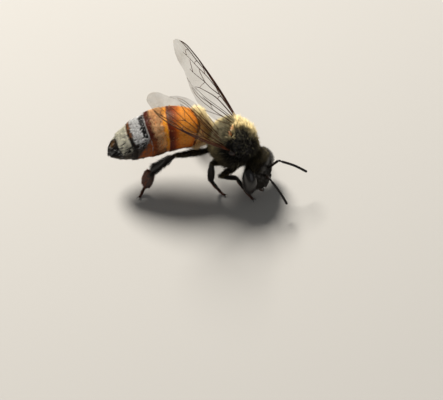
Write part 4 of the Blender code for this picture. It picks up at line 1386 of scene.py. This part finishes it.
def legComb(spot, root, normal):
    number, joint, t, angle, hind, edge = legFields(spot)
    basket = hind & (joint == 2) & (t > 0.2)
    length = np.where(basket, 0.14 + 0.34 * edge, np.array((0.32, 0.3, 0.2, 0.15, 0.1))[joint])
    length = np.where(hind & (joint == 3), 0.16 + 0.06 * edge, length)
    return length, np.where(basket, 20.0 + 18.0 * edge, 24.0), legDirections[number, joint]


def legTint(spot, root, normal, rng):
    number, joint, t, angle, hind, edge = legFields(spot)
    wild = rng.uniform(size=len(joint))
    inner = (np.cos(angle) < 0.0) & (joint >= 3)
    brush = hind & (joint == 3) & (np.sin(angle) < 0.3)  # the reddish pollen brush
    pale = (joint <= 1) * (wild > 0.3) + (joint == 2) * 0.08 * (wild > 0.6)
    black = ((joint >= 2) + 0.8 * (wild > 0.4)) * (1.0 - 0.8 * brush)
    return toneMix(("#7d6c46", "#1b140e", "#a8521e"), [pale, black, inner * 2.5 + 4.0 * brush], rng)


legPlan = {"seed": 41, "tufts": 7300, "hairs": 3, "width": 0.0115, "spread": 0.014, "sink": 0.012,
           "clump": 0.4, "curl": 0.6, "fray": 0.06, "ruffle": 6.0, "stray": 10.0}
growCoat("legCoatFront", legSkins[:4], legPlan, legWeight, legComb, legTint)
growCoat("legCoatHind", legSkins[4:], dict(legPlan, seed=42, tufts=5200), legWeight, legComb, legTint)
print("legs done")


studio = {
    "floorSize": 3.0,  # from its middle to its edge, in metres
    "floorTone": "#b9b7b3",
    "skyTone": "#f4f4f2",
    "sky": 0.15,
}
floorMesh = bpy.data.meshes.new("studioFloor")
bm = bmesh.new()
bmesh.ops.create_grid(bm, x_segments=1, y_segments=1, size=studio["floorSize"])
bm.to_mesh(floorMesh)
bm.free()
floorMesh.materials.append(newMaterial("matPaper", {"Base Color": studio["floorTone"], "Roughness": 0.9}))
floorPiece = bpy.data.objects.new("studioFloor", floorMesh)
bpy.context.collection.objects.link(floorPiece)

world = bpy.data.worlds.new("studioWorld")
world.use_nodes = True
background = world.node_tree.nodes["Background"]
background.inputs["Color"].default_value = linear(studio["skyTone"])
background.inputs["Strength"].default_value = studio["sky"]
bpy.context.scene.world = world

lights = {
    # name: place from the spot on the floor under the bee in mm, size in mm, watts, colour
    "keyLight": ((-130.0, 130.0, 190.0), 105.0, 1.4, "#fffaf2"),
    "fillLight": ((140.0, -220.0, 140.0), 240.0, 0.07, "#f4f6fa"),
}
for name, (place, size, watts, tone) in lights.items():
    lamp = bpy.data.lights.new(name, "AREA")
    lamp.shape = "DISK"
    lamp.size = size * toMetres
    lamp.energy = watts
    lamp.color = linear(tone)[:3]
    holder = bpy.data.objects.new(name, lamp)
    bpy.context.collection.objects.link(holder)
    holder.location = Vector(place) * toMetres
    holder.rotation_euler = (-Vector(place)).to_track_quat("-Z", "Y").to_euler()

view = {
    "azimuth": 13.63,  # camera round to the bee's front from its right side
    "elevation": 55.86,
    "roll": 3.17,
    "place": (-0.988, -4.545, 170.0),  # from the middle of the thorax's box, in the camera's own axes, mm
    "lens": 174.7,
}
turned = rotated(view["azimuth"], "Z", 3) @ rotated(90.0 - view["elevation"], "X", 3)
turned = turned @ rotated(view["roll"], "Z", 3)
camera = bpy.data.objects.new("camera", bpy.data.cameras.new("camera"))
bpy.context.collection.objects.link(camera)
camera.data.lens = view["lens"]
camera.data.sensor_width = 36.0
camera.data.clip_start = 0.01
camera.data.clip_end = 10.0
camera.location = (boxMiddle + turned @ Vector(view["place"])) * toMetres
camera.rotation_euler = turned.to_euler()
bpy.context.scene.camera = camera
bpy.context.scene.view_settings.view_transform = "Standard"
print("stage done")
